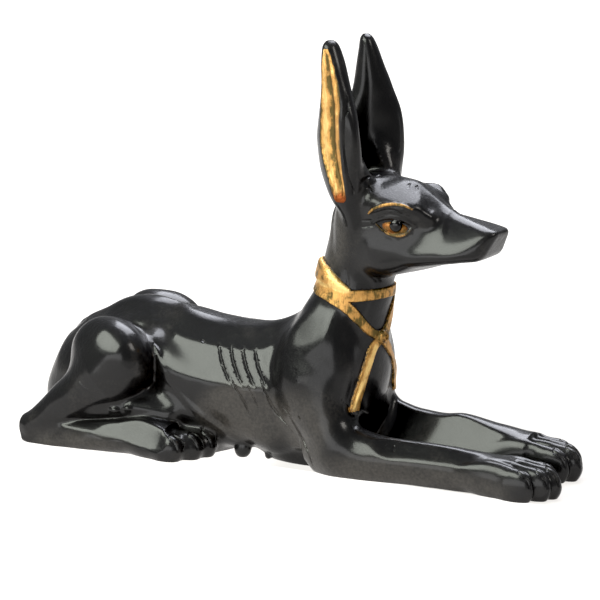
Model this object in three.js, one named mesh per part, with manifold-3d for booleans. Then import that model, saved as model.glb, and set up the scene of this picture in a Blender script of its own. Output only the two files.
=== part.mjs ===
// A recumbent jackal figure, cast in one piece of solid resin: tall ears, long muzzle, a sash round the neck
// that is knotted on the chest, haunches drawn up beside the loins and forelegs stretched out in front.
//
// Units are millimetres. +X runs from the hocks to the toes, +Y is the figure's left and +Z is up. The origin is
// on the flat underside, midway between hocks and toes. The body is modelled as clay would be: each muscle, bone
// and fold is a form given by a distance function, the forms run together in soft seams, and one skin is drawn
// over the whole.

import * as THREE from 'three';
import { edgeTable, triTable } from 'three/addons/objects/MarchingCubes.js';
import { mergeVertices } from 'three/addons/utils/BufferGeometryUtils.js';
import Module from 'manifold-3d';

// Driving dimensions.
const LENGTH = 120; // hocks to toe tips, mm
const SKIN_GRID = 0.8; // spacing of the grid that the skin is drawn on, mm
const SKIN_TRIANGLES = 10100; // faces left after thinning

// Every place and size below is a share of the figure's length, in hundredths, with x counted from the hocks.
// Paired forms are given on the figure's right side, where y is negative, and mirrored to the left.
const HUNDREDTH = LENGTH / 100;
const ORIGIN_X = 50;

// Shaping tools: each form is a function of a place that gives the distance to its surface, negative inside.

const size = (x, y, z) => Math.sqrt(x * x + y * y + z * z);
const clamp01 = (t) => Math.min(Math.max(t, 0), 1);
const ease = (t) => t * t * (3 - 2 * t);
const fadeIn = (value, from, to) => ease(clamp01((value - from) / (to - from)));

// Joins two forms with a soft seam, or carves the second out of the first.
function join(a, b, seam) {
  const overlap = seam - Math.abs(a - b);
  return overlap > 0 ? Math.min(a, b) - (overlap * overlap) / (4 * seam) : Math.min(a, b);
}
const carve = (a, b, seam) => -join(-a, b, seam);

// The distance to an ellipsoid from the place (u, v, w) in its own axes, and to an ellipse from (u, v).
function oval(u, v, w, ru, rv, rw) {
  const reach = size(u / ru, v / rv, w / rw);
  const slope = size(u / (ru * ru), v / (rv * rv), w / (rw * rw));
  return Math.max((reach * (reach - 1)) / Math.max(slope, 1e-6), -Math.min(ru, rv, rw));
}
const ellipse = (u, v, ru, rv) => oval(u, v, 0, ru, rv, 1e3);

// The distance from (u, v) to a rectangle with the given half sizes and rounded corners.
const CORNER = 0.5; // corner radius of a squared section, as a share of its smaller half size
function squared(u, v, ru, rv) {
  const radius = CORNER * Math.min(ru, rv);
  const pu = Math.abs(u) - ru + radius;
  const pv = Math.abs(v) - rv + radius;
  return size(Math.max(pu, 0), Math.max(pv, 0), 0) + Math.min(Math.max(pu, pv), 0) - radius;
}

// An ellipsoid whose long axis is pitched nose down by so many degrees and yawed to the left by so many.
function lump([cx, cy, cz], [rx, ry, rz], pitch = 0, yaw = 0) {
  const turn = new THREE.Euler(0, THREE.MathUtils.degToRad(pitch), THREE.MathUtils.degToRad(yaw), 'ZYX');
  const m = new THREE.Matrix4().makeRotationFromEuler(turn).elements;
  return (x, y, z) => {
    const px = x - cx;
    const py = y - cy;
    const pz = z - cz;
    return oval(
      m[0] * px + m[1] * py + m[2] * pz,
      m[4] * px + m[5] * py + m[6] * pz,
      m[8] * px + m[9] * py + m[10] * pz,
      rx,
      ry,
      rz,
    );
  };
}

// A rounded bar from one place to another, tapering from one radius to the other.
function bone([ax, ay, az], [bx, by, bz], ra, rb) {
  const dx = bx - ax;
  const dy = by - ay;
  const dz = bz - az;
  const span = dx * dx + dy * dy + dz * dz;
  return (x, y, z) => {
    const t = clamp01(((x - ax) * dx + (y - ay) * dy + (z - az) * dz) / span);
    return size(x - ax - t * dx, y - ay - t * dy, z - az - t * dz) - ra - t * (rb - ra);
  };
}

// Several forms run together.
function cluster(forms, seam) {
  return (x, y, z) => {
    let d = 1e3;
    for (const form of forms) d = join(d, form(x, y, z), seam);
    return d;
  };
}

// A form near the middle with its mirror image, run together across the middle.
function pair(form, seam) {
  return (x, y, z) => {
    const own = form(x, -Math.abs(y), z);
    return Math.abs(y) < 2 * seam ? join(own, form(x, Math.abs(y), z), seam) : own;
  };
}

// A smooth curve through stations [at, value, value, ...], read from a table of even steps.
function profile(stations) {
  const steps = 128;
  const first = stations[0][0];
  const last = stations.at(-1)[0];
  const width = stations[0].length - 1;
  const table = new Float64Array((steps + 1) * width);
  for (let i = 0; i <= steps; i++) {
    const at = first + ((last - first) * i) / steps;
    let k = 0;
    while (k < stations.length - 2 && stations[k + 1][0] < at) k++;
    const [a, b] = [stations[k], stations[k + 1]];
    const before = stations[Math.max(k - 1, 0)];
    const after = stations[Math.min(k + 2, stations.length - 1)];
    const span = b[0] - a[0];
    const t = (at - a[0]) / span;
    for (let j = 1; j <= width; j++) {
      const leaving = ((b[j] - before[j]) / (b[0] - before[0])) * span;
      const arriving = ((after[j] - a[j]) / (after[0] - a[0])) * span;
      table[i * width + j - 1] =
        a[j] + t * t * (3 - 2 * t) * (b[j] - a[j]) + t * (1 - t) * ((1 - t) * leaving - t * arriving);
    }
  }
  return (at, j) => {
    const f = clamp01((at - first) / (last - first)) * steps;
    const i = Math.min(Math.floor(f), steps - 1);
    const low = table[i * width + j];
    return low + (table[(i + 1) * width + j] - low) * (f - i);
  };
}

// A tapering strand on a smooth curve through the given joints, each joint [x, y, z, radius].
function strand(joints, bends = 4) {
  const at = profile(joints.map((joint, i) => [i, ...joint]));
  const count = (joints.length - 1) * bends;
  const spots = Array.from({ length: count + 1 }, (_, i) => [0, 1, 2, 3].map((j) => at(i / bends, j)));
  const bones = spots.slice(1).map((to, i) => bone(spots[i], to, spots[i][3], to[3]));
  const middle = [0, 1, 2].map((axis) => (spots[0][axis] + spots[count][axis]) / 2);
  const offset = ([x, y, z]) => size(x - middle[0], y - middle[1], z - middle[2]);
  const around = Math.max(...spots.map((spot) => offset(spot) + spot[3]));
  return (x, y, z) => {
    const away = offset([x, y, z]) - around;
    if (away > 4) return away;
    let d = 1e3;
    for (const each of bones) d = Math.min(d, each(x, y, z));
    return d;
  };
}

// A form lofted along x from stations [x, low z, high z, half width, middle y].
function loftAlongX(stations, section = ellipse) {
  const at = profile(stations.map((station) => [...station, 0].slice(0, 5)));
  const first = stations[0][0];
  const last = stations.at(-1)[0];
  return (x, y, z) => {
    const low = at(x, 0);
    const high = at(x, 1);
    const side = section(z - (low + high) / 2, y - at(x, 3), (high - low) / 2, at(x, 2));
    const past = Math.max(first - x, x - last, 0);
    return past > 0 ? size(Math.max(side, 0), past, 0) : side;
  };
}

// A form lofted up z from stations [z, rear x, front x, half width, middle y].
function loftAlongZ(stations) {
  const at = profile(stations.map((station) => [...station, 0].slice(0, 5)));
  const first = stations[0][0];
  const last = stations.at(-1)[0];
  return (x, y, z) => {
    const rear = at(z, 0);
    const front = at(z, 1);
    const side = ellipse(x - (rear + front) / 2, y - at(z, 3), (front - rear) / 2, at(z, 2));
    const past = Math.max(first - z, z - last, 0);
    return past > 0 ? size(Math.max(side, 0), past, 0) : side;
  };
}

// Trunk: a level back, a deep chest and a belly that tucks up in front of the knees.
const barrel = loftAlongX([
  [5, 8, 19, 6],
  [9, 5, 21.5, 8.4],
  [13, 4, 23.9, 9.4],
  [19, 4, 25.1, 9.2],
  [25, 5, 24.4, 8.4],
  [31, 4.6, 23.3, 8.2],
  [37, 3.6, 22.8, 8.9],
  [43, 2.2, 23, 9.7],
  [49, -0.5, 24.6, 10],
  [55, -1, 25, 9.6],
  [60, 1, 24, 8.2],
]);
const underbelly = loftAlongX([
  [7, -5, 9, 9.5],
  [18, -5, 10, 11],
  [28, -5, 8.6, 9.6],
  [33.5, -3, 6.4, 7.8],
  [37.5, 0.6, 6.4, 7],
  [42, 1, 6, 6.4],
  [46, -1.2, 5, 6.3],
  [52, -3, 5, 6.4],
  [60, -5, 8, 6],
]);
const flank = strand([
  [23, -6.4, 17, 2.6],
  [28.4, -6.2, 12.6, 3],
  [34.5, -5.8, 9.6, 3.2],
  [41, -5.2, 6.8, 3.4],
  [47, -5, 5, 3.6],
]);
const innerFold = strand([
  [17, -9.6, 8.4, 3],
  [24, -8.8, 8.4, 2.6],
  [32, -7.6, 6.6, 2.2],
  [40, -5.4, 3.6, 1.8],
]);
const buttock = pair(
  loftAlongZ([
    [-3, 1.2, 17, 5, -4.6],
    [2, 0.3, 18, 5.6, -4.6],
    [7.3, 0, 19, 5.9, -4.6],
    [10.2, 0.5, 19, 5.9, -4.4],
    [14, 2.1, 19, 5.7, -4.1],
    [17.5, 4.4, 19, 5, -3.8],
    [20.4, 7.6, 17, 2.6, -3.6],
  ]),
  1.5,
);
const tail = strand([
  [10, 0, 20, 1.4],
  [5.4, 0, 17.6, 2.1],
  [2.6, 0, 12.6, 2.1],
  [1.9, 0.8, 7.4, 2],
  [2.2, 3.6, 3.4, 1.9],
  [4.6, 8, 1.9, 1.8],
  [9, 11.2, 1.6, 1.5],
  [13.5, 12.2, 1.4, 1],
]);
const nub = bone([40.3, -6.4, 0.6], [40.8, -5.6, 2.4], 1, 1.3);

const neck = loftAlongZ([
  [4, 48, 61, 8.4],
  [10, 48, 63.4, 9],
  [16, 47.5, 64.9, 9.1],
  [22, 47, 64.6, 8.8],
  [26, 49.7, 64.9, 7.7],
  [30, 52.5, 65.5, 6.4],
  [34, 53.9, 66, 5.7],
  [39, 55.3, 67, 5.4],
  [45, 57, 67, 5.3],
]);
const shoulder = pair(lump([55.2, -6.6, 15.5], [7.2, 4.2, 10.5], 12), 1.5);

// Ribs that show through the flank: overlapping bows, each ending in a small step.
const RIBS = { first: 38.1, pitch: 2.5, count: 4, height: 0.36 };
function ribs(x, y, z) {
  const along = (x - 0.07 * Math.max(20 - z, 0) ** 1.75 - RIBS.first) / RIBS.pitch;
  if (along < -1 || along > RIBS.count) return 0;
  const phase = along - Math.floor(along);
  const bow = phase < 0.82 ? phase / 0.82 : (1 - phase) / 0.18;
  const within = fadeIn(along, -1, -0.3) * fadeIn(-along, -RIBS.count, 0.8 - RIBS.count);
  return RIBS.height * ease(bow) * within * fadeIn(z, 6.5, 10) * fadeIn(-z, -20.5, -18.5) * fadeIn(-y, 5, 7);
}

// Head: a domed skull, brows that stand out over the eyes, and a long squared muzzle with a slanting nose.
const skull = loftAlongX([
  [57.2, 37, 44, 3.4],
  [58.5, 34.8, 47.4, 5.2],
  [61, 33.8, 49.4, 6.2],
  [65, 33.4, 50.3, 6.5],
  [69, 33.8, 50, 6.1],
  [73, 35, 47.8, 4.7],
  [77, 36.6, 44.6, 3],
]);
const muzzle = loftAlongX(
  [
    [66, 36.2, 46, 4],
    [71, 35.2, 46, 4.4],
    [76, 35.9, 45, 3.7],
    [80, 36.5, 44, 3.1],
    [84, 37.3, 43, 2.6],
    [88, 38.1, 42.3, 2.2],
  ],
  squared,
);
const NOSE = { x: 87.3, z: 42.3, slant: 21 }; // top of the nose and how far its front leans back, in degrees
const beyondNose = (() => {
  const lean = THREE.MathUtils.degToRad(NOSE.slant);
  return (x, z) => (NOSE.x - x) * Math.cos(lean) + (z - NOSE.z) * Math.sin(lean);
})();
const nostril = lump([87, -1.35, 41], [0.8, 0.35, 0.45], -20, -25);
const noseCrease = strand([
  [84.9, -2.9, 42.6, 0.22],
  [85.2, -2.7, 40.8, 0.26],
  [86.4, -2.1, 39.6, 0.24],
]);
const mouthLine = strand([
  [86.6, -1.9, 39, 0.24],
  [82.6, -2.95, 38.3, 0.2],
]);
const browRidge = strand([
  [63.6, -5.3, 43.8, 0.8],
  [66.2, -5.9, 45.4, 1.1],
  [68.8, -5.9, 46.4, 1.3],
  [71, -5.4, 46.8, 1.3],
  [72.9, -4.5, 45.7, 1],
  [75.5, -3.4, 43.9, 0.6],
]);
const cheek = lump([66.5, -3.6, 37.6], [4.8, 2.9, 3.8], -10, 10);
const eyeSocket = lump([69.8, -7.6, 42.6], [4.2, 1.9, 2.3], 8, 16);
const eyeball = lump([69.6, -4.7, 42.3], [2.6, 1.8, 1.5], 8, 16);
const iris = lump([70.3, -5.2, 42.5], [1.35, 1.35, 1.35]);
const lids = cluster(
  [
    strand([
      [65.7, -6.1, 42.9, 0.3],
      [67.5, -6.4, 43.9, 0.42],
      [69.7, -6.4, 44.1, 0.45],
      [71.4, -5.8, 43.3, 0.4],
      [72.6, -5.1, 42, 0.3],
    ]),
    strand([
      [65.7, -6.1, 42.9, 0.3],
      [67.3, -6.4, 41.7, 0.36],
      [69.3, -6.4, 40.9, 0.4],
      [71.2, -5.9, 41, 0.36],
      [72.6, -5.1, 42, 0.3],
    ]),
  ],
  0.3,
);

// Ear: a pointed leaf with its hollow turned outwards and back, and a ridge down its inner side.
const EAR = { base: [60.9, -4.2, 45.5], tip: [57.8, -6.4, 72.2], back: 16, hollow: 0.9 };
const ear = (() => {
  const base = new THREE.Vector3(...EAR.base);
  const axis = new THREE.Vector3(...EAR.tip).sub(base);
  const height = axis.length();
  axis.normalize();
  const turn = THREE.MathUtils.degToRad(EAR.back);
  const outwards = new THREE.Vector3(-Math.sin(turn), -Math.cos(turn), 0);
  const across = new THREE.Vector3().crossVectors(axis, outwards).normalize();
  outwards.crossVectors(across, axis).normalize();
  // Stations [share of the height, half width, half thickness, bow of the middle towards the front edge].
  const leaf = profile([
    [-0.06, 2.8, 2.4, 0.4],
    [0.08, 3.8, 2.4, 0.2],
    [0.2, 4.9, 2.2, -0.3],
    [0.35, 5.4, 2.1, -0.4],
    [0.5, 4.8, 2.2, -0.1],
    [0.7, 3.3, 2.1, 0],
    [0.86, 2.1, 1.8, -0.1],
    [0.95, 1.5, 1.4, -0.2],
    [1, 1, 0.9, -0.2],
  ]);
  return (x, y, z) => {
    const px = x - base.x;
    const py = y - base.y;
    const pz = z - base.z;
    const rise = (px * axis.x + py * axis.y + pz * axis.z) / height;
    const wide = leaf(rise, 0);
    const thick = leaf(rise, 1);
    const u = px * across.x + py * across.y + pz * across.z - leaf(rise, 2);
    const v = px * outwards.x + py * outwards.y + pz * outwards.z;
    const side = ellipse(u, v, wide, thick);
    const past = Math.max(rise - 1, -0.06 - rise, 0) * height;
    const body = past > 0 ? size(Math.max(side, 0), past, 0) : side;
    const hollow = ellipse(u + wide * 0.12, v - thick, wide * 0.72, EAR.hollow);
    const within = Math.max(0.04 - rise, rise - 0.95) * height;
    return carve(body, Math.max(hollow, within), 0.5);
  };
})();

// Sash: bands of cloth laid on the neck and chest, each joint [x, y, z, half width], y to the left.
const SASH_RAISE = 0.38; // how far a band stands out from the body
const KNOT = [65, -1, 22.6];
const sashBands = cluster(
  [
    strand([
      [51.9, 0, 34.4, 1.6],
      [54.4, -3.9, 32.9, 1.5],
      [57.3, -6, 31, 1.35],
      [60.6, -6.2, 29.9, 1.1],
      [63.2, -5, 29.9, 1],
      [64.9, -3, 30.1, 0.95],
      [65.7, 0, 30.2, 0.95],
      [64.9, 3, 30.1, 0.95],
      [63.2, 5, 29.9, 1],
      [60.6, 6.2, 29.9, 1.1],
      [57.3, 6, 31, 1.35],
      [54.4, 3.9, 32.9, 1.5],
      [51.9, 0, 34.4, 1.6],
    ]),
    strand([
      KNOT.concat(0.8),
      [64.1, -3.2, 23.3, 0.95],
      [62.9, -5.2, 25.4, 1.05],
      [61.2, -6.4, 27.6, 1.1],
      [57.6, -6.6, 29.5, 1.3],
      [54.2, -4.6, 31.1, 1.4],
      [51.4, 0, 32.4, 1.5],
      [54.2, 4.6, 31.1, 1.4],
      [57.6, 6.6, 29.8, 1.3],
      [61.4, 6.4, 29, 1.1],
      [63.8, 4.6, 28.2, 1.05],
      [64.8, 2.4, 26.2, 1],
      [64.8, 0.6, 23.7, 0.9],
      KNOT.concat(0.8),
    ]),
    strand([
      KNOT.concat(0.7),
      [64.2, -2.9, 20.9, 0.85],
      [63.9, -4.7, 17.6, 0.95],
      [63.3, -5.8, 14.6, 1.05],
      [62.6, -6.7, 10.9, 1.15],
    ]),
    strand([
      KNOT.concat(0.7),
      [64.6, 0.9, 20.7, 0.85],
      [64, 3.8, 17.7, 0.95],
      [63.2, 6, 15.4, 1.05],
      [62, 7.6, 12.4, 1.15],
    ]),
  ],
  0.2,
);
const knot = lump(KNOT, [0.9, 1.25, 1.2]);
const knotHollow = lump([66, -1, 22.6], [0.8, 0.5, 0.5]);
function sash(x, y, z, body) {
  const laid = Math.max(sashBands(x, y, z), body - SASH_RAISE);
  return carve(join(laid, knot(x, y, z), 0.3), knotHollow(x, y, z), 0.2);
}

// Toes, from the outermost to the innermost, that reach forward to the given x.
const TOES = [
  { out: 1.5, short: 3.0 },
  { out: 0.5, short: 0.9 },
  { out: -0.5, short: 0 },
  { out: -1.5, short: 1.3 },
];
function paw({ reach, y, pitch, length, height }) {
  const toes = TOES.map(({ out, short }) => {
    const tip = [reach - short - 0.26 * length, y - out * pitch, 0.34 * height];
    const finger = [reach - short - 0.62 * length, y - out * pitch * 0.9, 0.44 * height];
    return cluster(
      [
        lump(finger, [0.6 * length, 0.62 * pitch, 0.53 * height], 6),
        lump(tip, [0.27 * length, 0.6 * pitch, 0.52 * height], 12),
      ],
      1.5,
    );
  });
  return cluster(toes, 0.25);
}

// Foreleg, stretched forward along the ground. The left one is the taller, and its paw ends further back.
function foreleg({ stations, toes }) {
  const arm = loftAlongX(stations);
  const fingers = paw(toes);
  return (x, y, z) => join(arm(x, y, z), fingers(x, y, z), 1.6);
}
const upperArm = bone([54.5, -6.6, 14.5], [60.5, -7.8, 4.6], 5.2, 4.2);
const forelegs = {
  right: foreleg({
    stations: [
      [54.5, 1, 6, 2.4, -7.2],
      [56.5, -0.6, 8, 3.4, -7.4],
      [60, -1.6, 9.4, 4.0, -7.7],
      [64, -1.5, 8.3, 3.9, -7.6],
      [68, -1.2, 7.3, 3.7, -7.4],
      [73, -1, 7, 3.5, -7.0],
      [79, -1, 6.9, 3.4, -6.6],
      [84, -1, 6.6, 3.5, -6.3],
      [88, -1, 6.2, 3.8, -6.1],
      [92, -1, 5.2, 3.8, -6],
    ],
    toes: { reach: 99.7, y: -6, pitch: 2.1, length: 10, height: 5.8 },
  }),
  left: foreleg({
    stations: [
      [54.5, 1, 6, 2.4, -7.2],
      [56.5, -0.6, 8.4, 3.4, -7.4],
      [60, -1.6, 10.4, 4.1, -7.8],
      [64, -1.5, 9.6, 4.0, -7.8],
      [68, -1.2, 8.8, 3.8, -7.7],
      [72.5, -1, 8.5, 3.6, -7.6],
      [76, -1, 8.9, 3.6, -7.6],
      [80, -1, 8.3, 3.6, -7.7],
      [84, -1, 7.6, 3.8, -7.8],
      [88.5, -1, 6.9, 4.0, -7.9],
    ],
    toes: { reach: 97.8, y: -8, pitch: 2.1, length: 10.5, height: 6.4 },
  }),
};

// Hind leg: thigh, knee and shin folded together, the hock, and a foot flat on the ground.
function hindLeg({ lag, rise }) {
  const folded = cluster(
    [
      lump([16.6 - lag, -10.2, 14.9 + rise], [7.2, 5.2, 8], -35),
      lump([19.4 - lag, -11.9, 17 + rise], [4.1, 3.6, 4.7], -20),
      bone([16.3 - lag, -12.3, 12.6], [2.8, -14.7, 3], 5.4, 2.5),
    ],
    2.5,
  );
  const foot = loftAlongX([
    [1.7, -0.4, 4.6, 2.2, -14.7],
    [5, -1.6, 5.2, 2.5, -14.7],
    [10, -1.2, 4.8, 2.4, -14.4],
    [15, -0.8, 4.9, 2.5, -14],
    [20, -0.5, 5.6, 2.9, -13.4],
    [25, -0.5, 6.4, 3.6, -12.8],
    [30, -0.8, 5.6, 4.6, -12],
  ]);
  const toes = paw({ reach: 36.6, y: -10.6, pitch: 2.9, length: 9, height: 5 });
  return (x, y, z) => join(folded(x, y, z), join(foot(x, y, z), toes(x, y, z), 1.4), 1.2);
}
// The left haunch lies further back than the right one, and a little higher.
const hindLegs = { right: hindLeg({ lag: 0, rise: 0 }), left: hindLeg({ lag: 3.6, rise: 1 }) };

function head(x, y, z) {
  const snout = carve(muzzle(x, y, z), beyondNose(x, z), 0.7);
  let d = join(join(skull(x, y, z), snout, 1.6), cheek(x, y, z), 2);
  d = join(d, browRidge(x, y, z), 2.4);
  d = carve(d, eyeSocket(x, y, z), 1);
  d = join(d, Math.min(eyeball(x, y, z), iris(x, y, z)), 0.15);
  d = join(d, lids(x, y, z), 0.35);
  d = carve(d, nostril(x, y, z), 0.3);
  d = carve(d, noseCrease(x, y, z), 0.4);
  return carve(d, mouthLine(x, y, z), 0.4);
}

// The whole figure.
function figure(x, yy, z) {
  const y = -Math.abs(yy);
  const side = yy < 0 ? 'right' : 'left';
  let d = join(barrel(x, y, z), buttock(x, y, z), 4);
  d = join(d, flank(x, y, z), 3);
  d = join(d, underbelly(x, y, z), 0.8);
  d = join(d, innerFold(x, y, z), 2.4);
  d = join(d, tail(x, yy, z), 1);
  d = join(d, neck(x, y, z), 3);
  d = join(d, shoulder(x, y, z), 2.5);
  d -= ribs(x, y, z);
  d = join(d, upperArm(x, y, z), 2.2);
  d = join(d, forelegs[side](x, y, z), 1.2);
  d = join(d, hindLegs[side](x, y, z), 0.8);
  if (yy < 0) d = join(d, nub(x, y, z), 0.4);
  if (z > 28) d = join(join(d, head(x, y, z), 2.2), ear(x, y, z), 1.2);
  return z > 8 && x > 48 ? join(d, sash(x, yy, z, d), 0.15) : d;
}

// Skin: the surface where a distance function is zero, drawn cell by cell over a grid.

// The distance at each node of a grid. A block of nodes far from the surface takes its middle's distance.
function sampled(distance, low, counts, step) {
  const block = 5;
  const reach = 1.4 * Math.sqrt(3) * 0.5 * block * step;
  const values = new Float64Array(counts[0] * counts[1] * counts[2]);
  const place = (axis, at) => low[axis] + at * step;
  for (let k0 = 0; k0 < counts[2]; k0 += block)
    for (let j0 = 0; j0 < counts[1]; j0 += block)
      for (let i0 = 0; i0 < counts[0]; i0 += block) {
        const middle = distance(place(0, i0 + block / 2), place(1, j0 + block / 2), place(2, k0 + block / 2));
        const far = Math.abs(middle) > reach;
        for (let k = k0; k < Math.min(k0 + block, counts[2]); k++)
          for (let j = j0; j < Math.min(j0 + block, counts[1]); j++)
            for (let i = i0; i < Math.min(i0 + block, counts[0]); i++)
              values[i + counts[0] * (j + counts[1] * k)] = far
                ? middle
                : distance(place(0, i), place(1, j), place(2, k));
      }
  return values;
}

function drawSkin(distance, low, high, step) {
  const counts = low.map((from, i) => Math.ceil((high[i] - from) / step) + 1);
  const [nx, ny, nz] = counts;
  const values = sampled(distance, low, counts, step);
  const strides = [1, nx, nx * ny];
  const corner = [0, 1, 1 + nx, nx, nx * ny, 1 + nx * ny, 1 + nx + nx * ny, nx + nx * ny];
  // The two corners and the axis of each edge of a cell, in the order of the tables.
  const edges = [[0, 1, 0], [1, 2, 1], [3, 2, 0], [0, 3, 1], [4, 5, 0], [5, 6, 1], [7, 6, 0], [4, 7, 1]];
  for (let c = 0; c < 4; c++) edges.push([c, c + 4, 2]);
  const known = new Int32Array(values.length * 3).fill(-1);
  const places = [];
  const faces = [];
  const crossing = (cell, edge) => {
    const [from, to, axis] = edges[edge];
    const n = cell + corner[from];
    if (known[n * 3 + axis] < 0) {
      const t = values[n] / (values[n] - values[cell + corner[to]]);
      known[n * 3 + axis] = places.length / 3;
      const at = [n % nx, Math.floor(n / nx) % ny, Math.floor(n / strides[2])];
      at[axis] += t;
      places.push(low[0] + at[0] * step, low[1] + at[1] * step, low[2] + at[2] * step);
    }
    return known[n * 3 + axis];
  };
  for (let k = 0; k < nz - 1; k++)
    for (let j = 0; j < ny - 1; j++)
      for (let i = 0; i < nx - 1; i++) {
        const cell = i + nx * (j + ny * k);
        let outside = 0;
        for (let c = 0; c < 8; c++) if (values[cell + corner[c]] >= 0) outside |= 1 << c;
        if (!edgeTable[outside]) continue;
        for (let t = outside * 16; triTable[t] >= 0; t++) faces.push(crossing(cell, triTable[t]));
      }
  return { places, faces };
}

// Thinning: collapses the edges whose loss moves the surface least, round by round, until few faces are left.
function thin(skin, wanted) {
  const places = Float64Array.from(skin.places);
  let faces = Int32Array.from(skin.faces);
  const count = places.length / 3;
  const sums = new Float64Array(count * 10); // each place's sum of squared distances to the planes round it
  const n = new Float64Array(3);
  const spot = new Float64Array(3);
  const sum = new Float64Array(10);

  // The unit normal of a triangle goes into n, with place number moved taken to be at spot. Returns the area.
  const normal = (a, b, c, moved) => {
    const at = (v, i) => (v === moved ? spot[i] : places[v * 3 + i]);
    const [ax, ay, az] = [at(a, 0), at(a, 1), at(a, 2)];
    const [ux, uy, uz] = [at(b, 0) - ax, at(b, 1) - ay, at(b, 2) - az];
    const [vx, vy, vz] = [at(c, 0) - ax, at(c, 1) - ay, at(c, 2) - az];
    n[0] = uy * vz - uz * vy;
    n[1] = uz * vx - ux * vz;
    n[2] = ux * vy - uy * vx;
    const twice = size(n[0], n[1], n[2]);
    for (let i = 0; i < 3; i++) n[i] /= twice || 1;
    return twice / 2;
  };
  const cost = (x, y, z) =>
    sum[0] * x * x + 2 * sum[1] * x * y + 2 * sum[2] * x * z + 2 * sum[3] * x + sum[4] * y * y +
    2 * sum[5] * y * z + 2 * sum[6] * y + sum[7] * z * z + 2 * sum[8] * z + sum[9];

  // Puts the best place to merge a and b at into spot, and returns its cost.
  const merge = (a, b) => {
    for (let i = 0; i < 10; i++) sum[i] = sums[a * 10 + i] + sums[b * 10 + i];
    const [xx, xy, xz, xd, yy, yz, yd, zz, zd] = sum;
    const [mx, my, mz] = [0, 1, 2].map((i) => (places[a * 3 + i] + places[b * 3 + i]) / 2);
    const [cx, cy, cz] = [yy * zz - yz * yz, xz * yz - xy * zz, xy * yz - xz * yy];
    const det = xx * cx + xy * cy + xz * cz;
    const long = size(places[a * 3] - mx, places[a * 3 + 1] - my, places[a * 3 + 2] - mz);
    spot[0] = mx;
    spot[1] = my;
    spot[2] = mz;
    if (det > 1e-7 * (xx + yy + zz) ** 3) {
      const x = -(xd * cx + yd * cy + zd * cz) / det;
      const y = -(xd * cy + yd * (xx * zz - xz * xz) + zd * (xy * xz - xx * yz)) / det;
      const z = -(xd * cz + yd * (xy * xz - xx * yz) + zd * (xx * yy - xy * xy)) / det;
      if (size(x - mx, y - my, z - mz) < 2 * long) {
        spot[0] = x;
        spot[1] = y;
        spot[2] = z;
      }
    }
    return Math.max(cost(spot[0], spot[1], spot[2]), 0) + 1e-5 * long * long;
  };

  for (let f = 0; f < faces.length; f += 3) {
    const area = normal(faces[f], faces[f + 1], faces[f + 2], -1);
    const v = faces[f] * 3;
    const plane = [n[0], n[1], n[2], -(n[0] * places[v] + n[1] * places[v + 1] + n[2] * places[v + 2])];
    for (let c = 0; c < 3; c++)
      for (let i = 0, at = faces[f + c] * 10; i < 4; i++)
        for (let j = i; j < 4; j++) sums[at++] += area * plane[i] * plane[j];
  }

  while (faces.length / 3 > wanted) {
    const first = new Int32Array(count + 1);
    for (const v of faces) first[v + 1]++;
    for (let v = 0; v < count; v++) first[v + 1] += first[v];
    const around = new Int32Array(faces.length);
    const filled = first.slice();
    for (let f = 0; f < faces.length; f++) around[filled[faces[f]]++] = f - (f % 3);

    const edges = [];
    for (let f = 0; f < faces.length; f++) {
      const a = faces[f];
      const b = faces[f % 3 === 2 ? f - 2 : f + 1];
      if (a < b) edges.push([merge(a, b), a, b]);
    }
    edges.sort((one, two) => one[0] - two[0]);

    let left = Math.min((faces.length / 3 - wanted) / 2, edges.length / 9);
    const locked = new Uint8Array(count);
    const seen = new Int32Array(count).fill(-1);
    const turned = (v, other) => {
      for (let r = first[v]; r < first[v + 1]; r++) {
        const [a, b, c] = [faces[around[r]], faces[around[r] + 1], faces[around[r] + 2]];
        if (a === other || b === other || c === other) continue;
        normal(a, b, c, -1);
        const [x, y, z] = n;
        if (normal(a, b, c, v) < 1e-6 || n[0] * x + n[1] * y + n[2] * z < 0.35) return true;
      }
      return false;
    };
    edges.forEach(([, a, b], number) => {
      if (left <= 0 || locked[a] || locked[b]) return;
      let shared = 0;
      for (let r = first[a]; r < first[a + 1]; r++)
        for (let c = 0; c < 3; c++) seen[faces[around[r] + c]] = number;
      for (let r = first[b]; r < first[b + 1]; r++)
        for (let c = 0; c < 3; c++) {
          const v = faces[around[r] + c];
          if (seen[v] !== number || v === a || v === b) continue;
          seen[v] = -1;
          shared++;
        }
      merge(a, b);
      if (shared !== 2 || turned(a, b) || turned(b, a)) return;
      for (let i = 0; i < 3; i++) places[a * 3 + i] = spot[i];
      for (let i = 0; i < 10; i++) sums[a * 10 + i] = sum[i];
      for (const v of [a, b])
        for (let r = first[v]; r < first[v + 1]; r++)
          for (let c = 0; c < 3; c++) {
            const at = around[r] + c;
            locked[faces[at]] = 1;
            if (faces[at] === b) faces[at] = a;
          }
      left--;
    });
    faces = faces.filter((v, f) => {
      const start = f - (f % 3);
      const [a, b, c] = [faces[start], faces[start + 1], faces[start + 2]];
      return a !== b && b !== c && c !== a;
    });
  }
  return { places, faces };
}

// The skin as a closed geometry in millimetres, with the origin in its place.
function geometryOf({ places, faces }) {
  const geometry = new THREE.BufferGeometry();
  geometry.setAttribute('position', new THREE.BufferAttribute(Float32Array.from(places), 3));
  geometry.setIndex(Array.from(faces));
  geometry.translate(-ORIGIN_X, 0, 0).scale(HUNDREDTH, HUNDREDTH, HUNDREDTH);
  return mergeVertices(geometry.toNonIndexed(), 1e-4);
}

const wasm = await Module();
wasm.setup();

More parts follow.
